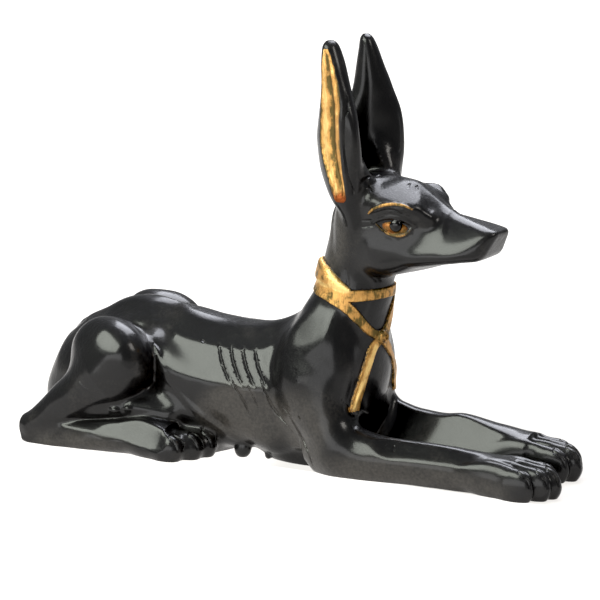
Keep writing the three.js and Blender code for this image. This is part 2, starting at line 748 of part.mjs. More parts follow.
function solidOf(geometry) {
  const bare = geometry.clone();
  bare.deleteAttribute('normal');
  bare.deleteAttribute('uv');
  const merged = mergeVertices(bare, 1e-4);
  const mesh = new wasm.Mesh({
    numProp: 3,
    vertProperties: merged.attributes.position.array,
    triVerts: new Uint32Array(merged.index.array),
  });
  return new wasm.Manifold(mesh);
}

function bufferOf(solid) {
  const mesh = solid.getMesh();
  const geometry = new THREE.BufferGeometry();
  geometry.setAttribute('position', new THREE.Float32BufferAttribute(mesh.vertProperties, 3));
  geometry.setIndex(Array.from(mesh.triVerts));
  geometry.computeVertexNormals();
  return geometry;
}

// Cuts everything below the ground away, which leaves the flat soles that the figure stands on.
function standing(solid) {
  const room = new THREE.BoxGeometry(3 * LENGTH, 3 * LENGTH, 2 * LENGTH).translate(0, 0, LENGTH);
  return solid.intersect(solidOf(room));
}

const skin = drawSkin(figure, [-4, -22, -7], [104, 22, 76], SKIN_GRID / HUNDREDTH);
const body = standing(solidOf(geometryOf(thin(skin, SKIN_TRIANGLES))));

const blackResin = new THREE.MeshStandardMaterial({ color: 0x17181a, roughness: 0.32, metalness: 0 });
const jackal = new THREE.Mesh(bufferOf(body), blackResin);
jackal.name = 'jackal_figure';

const group = new THREE.Group();
group.add(jackal);

export default group;
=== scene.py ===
"""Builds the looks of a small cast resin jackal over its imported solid, and lights it in a white studio.

The figure is modelled as clay would be. Each muscle, bone, fold and band of cloth is a form given by the
distance to its surface, negative inside. The forms run together in soft seams, and one skin is drawn over
them. Paint is laid on the skin by how far each point lies from the edge of what is painted.

Places and sizes on the figure are in hundredths of its length: x from the hocks to the toes, y to the
figure's left, z up from the ground. Paired forms are given on the right side, where y is negative.
Everything else is in metres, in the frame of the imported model.
"""

import logging
import math
from abc import ABC, abstractmethod
from collections.abc import Callable, Sequence
from dataclasses import dataclass
from enum import Enum
from functools import cached_property

import bpy
import numpy as np
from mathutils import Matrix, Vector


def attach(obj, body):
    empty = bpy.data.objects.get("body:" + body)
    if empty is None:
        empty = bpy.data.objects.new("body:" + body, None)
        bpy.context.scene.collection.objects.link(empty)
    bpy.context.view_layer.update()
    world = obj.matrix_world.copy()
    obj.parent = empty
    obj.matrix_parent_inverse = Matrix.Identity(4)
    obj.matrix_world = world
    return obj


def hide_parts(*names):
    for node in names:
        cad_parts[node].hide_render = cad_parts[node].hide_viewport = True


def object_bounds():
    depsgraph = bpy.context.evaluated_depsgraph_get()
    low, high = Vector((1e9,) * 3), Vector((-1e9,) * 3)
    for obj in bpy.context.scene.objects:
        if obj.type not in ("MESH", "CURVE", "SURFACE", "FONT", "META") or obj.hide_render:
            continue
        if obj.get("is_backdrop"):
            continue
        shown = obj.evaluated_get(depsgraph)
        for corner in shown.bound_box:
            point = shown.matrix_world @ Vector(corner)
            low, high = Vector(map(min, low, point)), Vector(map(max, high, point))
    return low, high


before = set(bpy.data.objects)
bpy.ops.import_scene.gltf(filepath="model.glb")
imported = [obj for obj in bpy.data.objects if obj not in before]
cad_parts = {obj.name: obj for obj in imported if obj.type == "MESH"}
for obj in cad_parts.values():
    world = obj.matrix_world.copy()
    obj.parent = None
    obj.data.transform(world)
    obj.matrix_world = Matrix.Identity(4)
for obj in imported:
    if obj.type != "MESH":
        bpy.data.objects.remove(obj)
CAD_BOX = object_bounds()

import openvdb
from mathutils import Matrix, Vector

log = logging.getLogger("jackal")

Array = np.ndarray
Triple = tuple[float, float, float]
Limits = tuple[float, float]
Colour = Sequence[float]

FIGURE_NODE = "jackal_figure"
RESIN_SLOT = "painted_resin"
HUNDREDTH = 0.0012  # one hundredth of the figure's length, in metres
ORIGIN_X = 50.0  # where the frame's origin lies along the figure
NEAR = 4.0  # a form further away than this needn't be measured exactly
FAR = 1e3  # further than anything on the figure
TINY = 1e-6  # keeps a division away from nought


# Reckoning with distances


def length(*parts: Array) -> Array:
    """Return the length of the vectors with the given parts."""
    return np.sqrt(sum(part * part for part in parts))


def fade_in(value: Array, start: float, end: float) -> Array:
    """Rise smoothly from 0 to 1 while a value goes from start to end.

    Args:
        value: The values to judge.
        start: Where the rise starts.
        end: Where it ends, which may be below start.

    Returns:
        One share between 0 and 1 a value.
    """
    t = np.clip((value - start) / (end - start), 0.0, 1.0)
    return t * t * (3.0 - 2.0 * t)


@dataclass(frozen=True)
class Hill:
    """A smooth hill on a line.

    Attributes:
        middle: Where its top is.
        half: Half its width.
        height: How high it is.
    """

    middle: float
    half: float
    height: float = 1.0

    def at(self, value: Array) -> Array:
        """Return how high it is at places on the line."""
        t = np.clip(np.abs(value - self.middle) / self.half, 0.0, 1.0)
        return (1.0 - t * t) ** 2 * self.height


@dataclass(frozen=True)
class Stretch:
    """A stretch of a line that fades in at its start and out at its end.

    Attributes:
        start: Where it begins, and from where on it is full.
        end: Where it is over, and up to where it is full.
    """

    start: Limits
    end: Limits

    def faded(self, at: Array, value: Array | float = 1.0) -> Array:
        """Fade a value towards nothing outside the stretch."""
        return value * fade_in(at, *self.start) * fade_in(at, *self.end)


def join(a: Array, b: Array, seam: float) -> Array:
    """Run two forms together with a soft seam.

    Args:
        a: Distances to the first form.
        b: Distances to the second form.
        seam: How far from each other their surfaces start to blend.

    Returns:
        Distances to the joined form.
    """
    overlap = np.maximum(seam - np.abs(a - b), 0.0)
    return np.minimum(a, b) - overlap * overlap / (4.0 * seam)


def carve(a: Array, b: Array, seam: float) -> Array:
    """Carve the second form out of the first, with a soft seam."""
    return -join(-a, b, seam)


def oval(u: Array, v: Array, w: Array | float, radii: Triple) -> Array:
    """Measure the distance to an ellipsoid.

    Args:
        u: Places along its first axis.
        v: Places along its second axis.
        w: Places along its third axis.
        radii: Its three half axes, numbers or one array each.

    Returns:
        Distances, exact near the surface.
    """
    ru, rv, rw = radii
    reach = length(u / ru, v / rv, w / rw)
    slope = length(u / (ru * ru), v / (rv * rv), w / (rw * rw))
    thinnest = np.minimum(np.minimum(ru, rv), rw)
    return np.maximum(reach * (reach - 1.0) / np.maximum(slope, TINY), -thinnest)


def ellipse(u: Array, v: Array, ru: Array, rv: Array) -> Array:
    """Measure the distance to an ellipse with the given half axes."""
    return oval(u, v, 0.0, (ru, rv, FAR))


def squared(u: Array, v: Array, ru: Array, rv: Array) -> Array:
    """Measure the distance to a rectangle whose corners take up half of its short side.

    Args:
        u: Places along its first axis.
        v: Places along its second axis.
        ru: Half its size along the first.
        rv: Half its size along the second.

    Returns:
        Distances, negative inside.
    """
    radius = 0.5 * np.minimum(ru, rv)
    pu = np.abs(u) - ru + radius
    pv = np.abs(v) - rv + radius
    outside = length(np.maximum(pu, 0.0), np.maximum(pv, 0.0))
    return outside + np.minimum(np.maximum(pu, pv), 0.0) - radius


@dataclass(frozen=True)
class Planing:
    """A flat that is planed along both sides of a round body.

    Attributes:
        tilt: How far it faces up, in degrees.
        high: How high a point on it lies, in half heights of the body.
        wide: How far out that point lies, in half widths of the body.
        seam: How soft its edges are.
    """

    tilt: float
    high: float
    wide: float
    seam: float


FLATS = (Planing(30, 0.3, 0.835, 0.3), Planing(48, 0.6, 0.66, 0.15), Planing(84, 1.0, 0.0, 0.7))
UNPLANED = 1.12  # how much higher a body is before its flats are planed


def planed(u: Array, v: Array, ru: Array, rv: Array) -> Array:
    """Measure the distance to an ellipse that is planed on its top and twice on each shoulder.

    Args:
        u: Heights above its middle.
        v: Places across it.
        ru: Half its height.
        rv: Half its width.

    Returns:
        Distances, negative inside.
    """
    v = np.abs(v)
    d = ellipse(u, v, UNPLANED * ru, rv)
    for flat in FLATS:
        turn = math.radians(flat.tilt)
        beyond = (flat.high * ru - u) * math.sin(turn) + (flat.wide * rv - v) * math.cos(turn)
        d = carve(d, beyond, flat.seam)
    return d


def flattened(p: Array) -> Array:
    """Move points across onto the figure's middle plane."""
    return p * (1.0, 0.0, 1.0)


def mirrored(p: Array) -> Array:
    """Fold points over the middle plane onto the figure's right side."""
    return flattened(p) - np.abs(p) * (0.0, 1.0, 0.0)


def towards(azimuth: float, elevation: float) -> Vector:
    """Return a direction.

    Args:
        azimuth: Degrees round from the figure's right side towards its front.
        elevation: Degrees above the ground.

    Returns:
        A unit vector.
    """
    turn = math.radians(azimuth)
    rise = math.radians(elevation)
    return Vector((math.sin(turn) * math.cos(rise), -math.cos(turn) * math.cos(rise), math.sin(rise)))


@dataclass(frozen=True)
class Profile:
    """A smooth curve through stations.

    Attributes:
        stations: Rows of a place on the curve and the values there.
    """

    stations: Sequence[Sequence[float]]

    STEPS = 128

    @cached_property
    def table(self) -> Array:
        """Tabulate the curve at even steps, one row each."""
        rows = np.array(self.stations, float)
        at = rows[:, 0]
        spots = np.linspace(at[0], at[-1], self.STEPS + 1)
        k = np.clip(np.searchsorted(at, spots) - 1, 0, len(at) - 2)
        before = rows[np.maximum(k - 1, 0)]
        after = rows[np.minimum(k + 2, len(at) - 1)]
        a = rows[k]
        b = rows[k + 1]
        span = (b - a)[:, :1]
        t = (spots[:, None] - a[:, :1]) / span
        leaving = (b - before) / (b - before)[:, :1] * span
        arriving = (after - a) / (after - a)[:, :1] * span
        curve = a + t * t * (3 - 2 * t) * (b - a) + t * (1 - t) * ((1 - t) * leaving - t * arriving)
        return curve[:, 1:]

    def values(self, at: Array) -> Array:
        """Read the curve.

        Args:
            at: Places on it. One beyond an end takes the end's values.

        Returns:
            One row of values a place.
        """
        first = self.stations[0][0]
        last = self.stations[-1][0]
        f = np.clip((at - first) / (last - first), 0.0, 1.0) * self.STEPS
        i = np.minimum(f.astype(int), self.STEPS - 1)
        low = self.table[i]
        return low + (self.table[i + 1] - low) * (f - i)[:, None]


class Form(ABC):
    """A form given by the distance to its surface, negative inside."""

    @abstractmethod
    def distance(self, p: Array) -> Array:
        """Measure how far points lie from the surface.

        Args:
            p: The points, one row each.

        Returns:
            One distance a point.
        """


def guarded(p: Array, middle: Array, radius: float, measure: Callable[[Array], Array]) -> Array:
    """Measure a form exactly only near the ball that holds it.

    Args:
        p: The points.
        middle: The ball's middle.
        radius: The ball's radius.
        measure: What measures the form exactly.

    Returns:
        Distances to the form, or to the ball where that is far away.
    """
    away = length(*(p - middle).T) - radius
    near = away < NEAR
    if near.any():
        away[near] = measure(p[near])
    return away


@dataclass(frozen=True)
class Lump(Form):
    """An ellipsoid.

    Attributes:
        middle: Where it is.
        radii: Its half axes, the first along x before it is turned.
        pitch: How far its first axis points down in front, in degrees.
        yaw: How far it is turned to the left, in degrees.
    """

    middle: Triple
    radii: Triple
    pitch: float = 0.0
    yaw: float = 0.0

    def distance(self, p: Array) -> Array:
        """Measure how far points lie from the surface."""
        yaw = Matrix.Rotation(math.radians(self.yaw), 3, "Z")
        pitch = Matrix.Rotation(math.radians(self.pitch), 3, "Y")
        axes = np.array(yaw @ pitch)
        middle = np.array(self.middle)
        return guarded(p, middle, max(self.radii), lambda q: oval(*((q - middle) @ axes).T, self.radii))


@dataclass(frozen=True)
class Strand(Form):
    """A tapering strand on a smooth curve.

    Attributes:
        joints: Points on it, each (x, y, z, radius).
        bends: How many straight bones run from one joint to the next.
    """

    joints: Sequence[tuple[float, float, float, float]]
    bends: int = 4

    OUTERMOST = -14.0  # between these places along y the surface that a strand is laid on is looked for
    INNERMOST = -0.5
    LOOKS = 541

    @cached_property
    def spots(self) -> Array:
        """Lay out the ends of the bones."""
        curve = Profile([(i, *joint) for i, joint in enumerate(self.joints)])
        last = len(self.joints) - 1
        return curve.values(np.linspace(0, last, last * self.bends + 1))

    def measure(self, p: Array) -> Array:
        """Measure the distance to the nearest bone.

        Args:
            p: The points.

        Returns:
            One distance a point.
        """
        nearest = np.full(len(p), FAR)
        for start, end in zip(self.spots[:-1], self.spots[1:]):
            along = end[:3] - start[:3]
            offset = p - start[:3]
            t = np.clip(offset @ along / (along @ along), 0.0, 1.0)
            radius = start[3] + t * (end[3] - start[3])
            nearest = np.minimum(nearest, length(*(offset - t[:, None] * along).T) - radius)
        return nearest

    def laid_on(self, form: Form) -> "Strand":
        """Move the joints along y until they lie on a form.

        Args:
            form: The form, whose right side faces the joints.

        Returns:
            A strand at the same places in x and z.
        """
        joints = []
        depths = np.linspace(self.OUTERMOST, self.INNERMOST, self.LOOKS)
        for x, _, z, radius in self.joints:
            line = np.stack([np.full_like(depths, x), depths, np.full_like(depths, z)], 1)
            joints.append((x, depths[np.argmax(form.distance(line) < 0)], z, radius))
        return Strand(joints, self.bends)

    def distance(self, p: Array) -> Array:
        """Measure how far points lie from the surface."""
        middle = (self.spots[0, :3] + self.spots[-1, :3]) / 2
        reach = max(length(*(spot[:3] - middle)) + spot[3] for spot in self.spots)
        return guarded(p, middle, reach, self.measure)


@dataclass(frozen=True)
class Facet(Form):
    """The space beyond a plane.

    Attributes:
        spot: A point on the plane.
        tilt: How far the direction out of the plane points up, in degrees.
        turn: How far it is turned from the figure's right side towards its front, in degrees.
        span: From where to where along x it is flat.
        heights: From where to where along z it is flat. It bends away beyond.
    """

    spot: Triple
    tilt: float
    turn: float = 0.0
    span: Limits = (-FAR, FAR)
    heights: Limits = (-FAR, FAR)

    BEND = 0.05

    def distance(self, p: Array) -> Array:
        """Measure how far points lie from the plane, negative beyond it."""
        x, _, z = p.T
        past = np.maximum(np.maximum(self.span[0] - x, x - self.span[1]), 0.0)
        above = np.maximum(np.maximum(self.heights[0] - z, z - self.heights[1]), 0.0)
        bend = self.BEND * (past * past + above * above)
        return bend - (p - self.spot) @ np.array(towards(self.turn, self.tilt))


class Axis(Enum):
    """The direction that a loft runs in."""

    X = 0
    Z = 2


@dataclass(frozen=True)
class Loft(Form):
    """A form lofted along an axis.

    Attributes:
        stations: Along x (x, low z, high z, half width, middle y), up z (z, rear x, front x, half width,
            middle y). The middle is 0 where it is left out.
        along: The axis that it runs along.
        section: What measures the distance to its section.
    """

    stations: Sequence[Sequence[float]]
    along: Axis = Axis.X
    section: Callable[[Array, Array, Array, Array], Array] = ellipse

    @cached_property
    def curve(self) -> Profile:
        """Return the smooth curve through the stations."""
        return Profile([(*station, 0.0)[:5] for station in self.stations])

    def distance(self, p: Array) -> Array:
        """Measure how far points lie from the surface.

        Args:
            p: The points.

        Returns:
            One distance a point.
        """
        run = p[:, self.along.value]
        other = p[:, Axis.Z.value - self.along.value]
        low, high, half, middle = self.curve.values(run).T
        side = self.section(other - (low + high) / 2, p[:, 1] - middle, (high - low) / 2, half)
        past = np.maximum(np.maximum(self.stations[0][0] - run, run - self.stations[-1][0]), 0.0)
        return np.where(past > 0, length(np.maximum(side, 0.0), past), side)


@dataclass(frozen=True)
class Cluster(Form):
    """Several forms run together.

    Attributes:
        forms: The forms.
        seam: How soft the seams between them are.
    """

    forms: Sequence[Form]
    seam: float

    def distance(self, p: Array) -> Array:
        """Measure how far points lie from the surface."""
        d = np.full(len(p), FAR)
        for form in self.forms:
            d = join(d, form.distance(p), self.seam)
        return d


@dataclass(frozen=True)
class Pair(Form):
    """A form near the middle plane, run together with its mirror image.

    Attributes:
        form: The form on the right side.
        seam: How soft the seam in the middle is.
    """

    form: Form
    seam: float

    def distance(self, p: Array) -> Array:
        """Measure how far points lie from the surface."""
        own = mirrored(p)
        other = own * (1.0, -1.0, 1.0)
        return join(self.form.distance(own), self.form.distance(other), self.seam)


@dataclass(frozen=True)
class Unevenness:
    """The gentle waves that a maker's hands leave in a surface.

    Attributes:
        seed: What the waves are drawn from.
        count: How many there are.
        shortest: The length of the shortest one.
        longest: The length of the longest one.
        steepness: How high a wave is for its length.
    """

    seed: int = 11
    count: int = 12
    shortest: float = 4.0
    longest: float = 13.0
    steepness: float = 0.0022

    @cached_property
    def waves(self) -> tuple[Array, Array, Array]:
        """Draw the waves' directions, phases and heights."""
        random = np.random.default_rng(self.seed)
        directions = random.normal(size=(3, self.count))
        lengths = np.geomspace(self.shortest, self.longest, self.count)
        turns = 2 * math.pi / lengths / length(*directions)
        return directions * turns, random.uniform(0, 2 * math.pi, self.count), self.steepness * lengths

    def relief(self, p: Array) -> Array:
        """Return how far the surface stands out at points."""
        directions, phases, heights = self.waves
        return np.sin(p @ directions + phases) @ heights


# The figure's parts


@dataclass(frozen=True)
class Ribs:
    """Ribs that show through the flank: flat bars between narrow curved grooves.

    Attributes:
        first: Where the first groove starts, along the back.
        pitch: How far the grooves lie apart.
        count: How many there are.
        half: Half the width of a groove.
        depth: How deep they are.
        swell: How far a rib stands out.
        top: The height from which a groove runs forward on its way down.
        sweep: How far forward it has run one hundredth below that.
        curl: How quickly it turns forward, where 1 is a straight line.
        bars: Where there are ribs, in grooves from the first one on.
        upright: Where they show, by height.
        inner: Where they begin to show, by y.
    """

    first: float = 35.9
    pitch: float = 2.4
    count: int = 4
    half: float = 0.4
    depth: float = 0.16
    swell: float = 0.06
    top: float = 20.0
    sweep: float = 0.21
    curl: float = 1.6
    bars: Stretch = Stretch((-0.2, 0.2), (4.2, 3.6))
    upright: Stretch = Stretch((12.6, 15.0), (19.8, 18.0))
    inner: Limits = (-5.0, -6.2)

    def relief(self, p: Array) -> Array:
        """Work out how far the skin stands out.

        Args:
            p: Points on the right side.

        Returns:
            One height a point, negative in a groove.
        """
        x, y, z = p.T
        forward = self.sweep * np.maximum(self.top - z, 0.0) ** self.curl
        along = (x - forward - self.first) / self.pitch
        nearest = np.clip(np.round(along), 0, self.count - 1)
        groove = np.maximum(1 - np.abs(along - nearest) * self.pitch / self.half, 0.0)
        bar = self.bars.faded(along, (1 - np.cos(2 * math.pi * along)) / 2)
        place = self.upright.faded(z) * fade_in(y, *self.inner)
        return (self.swell * bar - self.depth * groove) * place


@dataclass(frozen=True)
class Trunk:
    """Body and tail: a level back, a deep chest and a belly that tucks up in front of the knees.

    Attributes:
        barrel: The rump, loins and chest.
        underbelly: The belly's mass near the ground.
        flank: The fold of skin from the loins down to the belly.
        inner_fold: The fold between thigh and belly.
        fold_ridge: The thin raised edge of the flank's fold.
        buttocks: The rounded rear on both sides.
        tail: The tail, laid down between the haunches and round to the left hip.
        nubs: Small lumps of resin under the belly.
        ribs: The ribs.
    """

    barrel: Form = Loft([
        (5, 8, 19, 6), (9, 5, 21.5, 8.4), (13, 4, 23.9, 9.4), (19, 4, 25.1, 9.2), (24.4, 5, 24.4, 7.6),
        (27.6, 4.8, 23.8, 9.5), (33, 4.3, 23, 9.7), (38, 3.5, 22.7, 9.8), (43, 2.2, 23, 9.9),
        (47, 0.5, 24, 9.5), (51, -0.8, 24.8, 8.8), (55, -1, 25, 8.8), (60, 1, 24, 8),
    ], section=planed)
    underbelly: Form = Loft([
        (7, -5, 9, 9.5), (18, -5, 10, 11), (28, -5, 8.6, 9.6), (33.5, -3, 6.4, 7.8),
        (37.5, 0.6, 6.4, 7), (42, 1, 6, 6.4), (46, -1.2, 5, 6.3), (52, -3, 5, 6.4), (60, -5, 8, 6),
    ])
    flank: Form = Strand([
        (23, -6.4, 17, 2.6), (28.4, -6.2, 12.6, 3), (34.5, -5.8, 9.6, 3.2), (41, -5.2, 6.8, 3.4),
        (47, -5, 5, 3.6),
    ])
    inner_fold: Form = Strand(
        [(17, -9.6, 8.4, 3), (24, -8.8, 8.4, 2.6), (32, -7.6, 6.6, 2.2), (40, -5.4, 3.6, 1.8)]
    )
    fold_ridge: Form = Strand([
        (21.6, -7.5, 20.2, -1.6), (23.8, -8.3, 18.8, -0.5), (25.2, -8.8, 17.2, 0.2),
        (26.6, -9.4, 14.6, 0.28), (29, -9.55, 11.8, 0.26), (33.4, -9.4, 8, 0.26),
        (38.2, -8.3, 4.9, 0.24), (42.4, -6.6, 2.5, -0.3),
    ])
    buttocks: Form = Pair(
        Loft([
            (-3, 1.2, 17, 5, -4.6), (2, 0.3, 18, 5.6, -4.6), (7.3, 0, 19, 5.9, -4.6),
            (10.2, 0.5, 19, 5.9, -4.4), (14, 2.1, 19, 5.7, -4.1), (17.5, 4.4, 19, 5, -3.8),
            (20.4, 7.6, 17, 2.6, -3.6),
        ], Axis.Z),
        seam=1.5,
    )
    tail: Form = Strand([
        (10, 0, 20, 1.4), (5.4, 0, 17.6, 2.1), (2.6, 0, 12.6, 2.1), (1.9, 0.8, 7.4, 2),
        (2.2, 3.6, 3.4, 1.9), (4.6, 8, 1.9, 1.8), (9, 11.2, 1.6, 1.5), (13.5, 12.2, 1.4, 1),
    ])
    nubs: Form = Cluster([
        Lump((40.9, -6.4, 1.6), (1.5, 1.2, 1.7), 20),
        Lump((45.6, -5.9, 0.9), (0.7, 0.6, 0.8)),
    ], seam=0.2)
    ribs: Ribs = Ribs()

    def distance(self, p: Array, q: Array) -> Array:
        """Measure the trunk.

        Args:
            p: The points.
            q: The same points folded onto the right side.

        Returns:
            One distance a point.
        """
        d = join(self.barrel.distance(q), self.buttocks.distance(q), seam=3.0)
        d = join(d, self.flank.distance(q), seam=3.0)
        d = join(d, self.underbelly.distance(q), seam=0.8)
        d = join(d, self.inner_fold.distance(q), seam=2.4)
        d = join(d, self.fold_ridge.distance(q), seam=0.9)
        return join(d, self.tail.distance(p), seam=1.0)


@dataclass(frozen=True)
class Neck:
    """Neck and shoulders.

    Attributes:
        column: The neck, from the breast to the skull.
        shoulders: The shoulder muscles.
        flat: The flat on each shoulder.
        crease: A short crease just above the sash.
    """

    column: Form = Loft([
        (4, 48, 61, 8.4), (10, 48, 63.4, 9), (16, 47.5, 64.9, 9.1), (22, 47, 64.6, 8.8),
        (26, 49.7, 64.9, 7.7), (30, 52.3, 65.5, 6.4), (34, 53.6, 66, 5.7), (39, 54.9, 67, 5.4),
        (45, 56.7, 67, 5.2), (49, 59.5, 65.5, 3.2),
    ], Axis.Z)
    shoulders: Form = Pair(Lump((55.2, -6.6, 15.5), (7.2, 4.2, 10.5), 12), seam=1.5)
    flat: Form = Facet((53.8, -8.72, 23.3), 30, -10, (50, 57), (19, 26))
    crease: Form = Strand([(60.5, -5.7, 34.4, 0.12), (60.9, -5.9, 32.4, 0.22), (61.0, -6.0, 31.0, 0.2)])

    def distance(self, d: Array, q: Array) -> Array:
        """Add neck and shoulders to the distances of what is there, at points on the right side."""
        d = join(join(d, self.column.distance(q), seam=3.0), self.shoulders.distance(q), seam=2.5)
        return carve(d, self.flat.distance(q), seam=0.4)


@dataclass(frozen=True)
class Nose:
    """The slanting front of the muzzle.

    Attributes:
        x: How far forward its top is.
        z: How high its top is.
        slant: How far its front leans back, in degrees.
    """

    x: float = 86.95
    z: float = 42.3
    slant: float = 28.0

    def beyond(self, p: Array) -> Array:
        """Measure the distance to the space in front of the nose."""
        lean = math.radians(self.slant)
        return (self.x - p[:, 0]) * math.cos(lean) + (p[:, 2] - self.z) * math.sin(lean)


@dataclass(frozen=True)
class Face(Form):
    """Head without ears, lids and paint: a domed skull, brows over the eyes, and a wedge of a muzzle.

    Attributes:
        skull: The skull.
        muzzle: The muzzle before it is trimmed.
        side: The flat side of the muzzle.
        slope: The sloping plane between its side and its top.
        nose: Where the muzzle is cut.
        nostril: The hollow of a nostril.
        crown: The flat top of the skull.
        forehead: What fills the forehead.
        brow_slope: The flat slope from the forehead to the brow.
        brow_ridge: The bony ridge over the eye.
        cheek: The cheek's muscle.
        socket: The hollow that the eye lies in.
        eyeball: The almond of the eye.
    """

    skull: Form = Loft([
        (57.2, 37, 44, 3.4), (58.5, 34.8, 47.4, 5.2), (61, 33.8, 49.4, 6.2), (65, 33.4, 50.3, 6.5),
        (69, 33.8, 50, 6.1), (73, 35, 47.8, 4.9), (77, 36.6, 44.6, 3.4),
    ])
    muzzle: Form = Loft([
        (66, 34.9, 46.5, 5.8), (71, 35.15, 46.2, 6.2), (76, 36.15, 45.05, 6.3), (80, 36.8, 44.05, 6),
        (83.5, 37.35, 43.1, 4.8), (86, 37.75, 42.45, 3.2), (88, 38, 42, 1.8),
    ], section=squared)
    side: Form = Facet((78, -5.2, 39.8), 30, -1)
    slope: Form = Facet((80, -4.4, 41.2), 44, 1)
    nose: Nose = Nose()
    nostril: Form = Lump((87.1, -1.5, 40.7), (0.8, 0.5, 0.55), -20, -30)
    crown: Form = Facet((65, -2.2, 49.55), 83, 30)
    forehead: Form = Lump((68.0, -3.7, 45.6), (5.4, 3.5, 3.0))
    brow_slope: Form = Facet((69.5, -3.5, 48.55), 58, 25)
    brow_ridge: Form = Strand([
        (63.4, -5.2, 43.9, 0.8), (66.2, -5.9, 45.3, 1.1), (68.8, -5.8, 45.9, 1.3),
        (71.2, -5.4, 45.9, 1.25), (72.8, -4.8, 45.3, 1), (74.8, -3.8, 44, 0.6),
    ])
    cheek: Form = Lump((66.5, -3.6, 37.6), (4.8, 2.9, 3.8), -10, 10)
    socket: Form = Lump((69.8, -8.2, 42.6), (4.2, 2.2, 2.2), 8, 14)
    eyeball: Form = Lump((69.45, -4.6, 42.15), (2.75, 1.85, 1.22), 6, 14)

    def distance(self, p: Array) -> Array:
        """Measure the face.

        Args:
            p: Points on the right side.

        Returns:
            One distance a point.
        """
        snout = carve(self.muzzle.distance(p), self.slope.distance(p), seam=1.0)
        snout = carve(carve(snout, self.side.distance(p), seam=0.8), self.nose.beyond(p), seam=1.1)
        d = join(join(self.skull.distance(p), snout, seam=1.8), self.cheek.distance(p), seam=2.0)
        d = join(join(d, self.brow_ridge.distance(p), seam=2.0), self.forehead.distance(p), seam=1.5)
        d = carve(carve(d, self.brow_slope.distance(p), seam=0.8), self.crown.distance(p), seam=0.8)
        d = carve(d, self.socket.distance(p), seam=1.2)
        d = join(d, self.eyeball.distance(p), seam=0.3)
        return carve(d, self.nostril.distance(p), seam=0.5)


@dataclass(frozen=True)
class Head:
    """Head without the ears: the face with its lids, the ball of the eye and the painted brow line.

    Attributes:
        face: The face that they lie on.
        iris: The flat ball in the eye's almond.
        brow_line: The painted line on the brow.
        upper_lid: The fold over the eye.
        lower_lid: The rim under the eye.
        creases: Fine creases behind the eye's outer corner and over it.
    """

    face: Face = Face()
    iris: Form = Lump((70.05, -6.25, 42.55), (1.05, 0.6, 1.05), 0, 14)
    brow_line: Form = Strand([
        (65.4, 0, 44.3, 0.1), (66.3, 0, 45.05, 0.2), (67.5, 0, 45.7, 0.24), (69, 0, 46.15, 0.26),
        (70.4, 0, 46.25, 0.25), (71.8, 0, 46, 0.2), (73, 0, 45.5, 0.1),
    ]).laid_on(face)
    upper_lid: Form = Strand([
        (65.9, 0, 42.7, 0.2), (67.4, 0, 43.6, 0.38), (69.6, 0, 44.15, 0.5), (71.4, 0, 43.75, 0.42),
        (72.9, 0, 42.6, 0.2),
    ]).laid_on(face)
    lower_lid: Form = Strand([
        (66.5, 0, 42.6, 0.14), (67.5, 0, 41.7, 0.22), (69.3, 0, 40.9, 0.27), (71.1, 0, 41, 0.25),
        (72.4, 0, 42, 0.14),
    ]).laid_on(face)
    creases: Form = Cluster([
        Strand([(63.9, 0, 41.9, 0.04), (65.9, 0, 42.3, 0.12)], 2).laid_on(face),
        Strand([(63.8, 0, 43.0, 0.04), (65.6, 0, 43.1, 0.11)], 2).laid_on(face),
        Strand([(66.2, 0, 44.3, 0.1), (69.5, 0, 45.3, 0.2), (72.4, 0, 44.5, 0.1)]).laid_on(face),
    ], seam=0.05)

    def distance(self, q: Array) -> Array:
        """Measure the head at points on the right side."""
        d = carve(self.face.distance(q), self.creases.distance(q), seam=0.25)
        d = join(d, self.iris.distance(q), seam=0.1)
        d = join(d, join(self.upper_lid.distance(q), self.lower_lid.distance(q), seam=0.2), seam=0.3)
        return join(d, self.brow_line.distance(q), seam=0.2)


@dataclass(frozen=True)
class EarPlace:
    """Points seen in an ear's own frame.

    Attributes:
        rise: Shares of the ear's height.
        across: Distances from the leaf's middle towards its front edge.
        out: Distances outwards from the leaf.
        wide: The leaf's half width at the same height.
        thick: The leaf's half thickness at the same height.
        share: Places across the lining, -1 at its rear edge and 1 at its front edge.
    """

    rise: Array
    across: Array
    out: Array
    wide: Array
    thick: Array
    share: Array


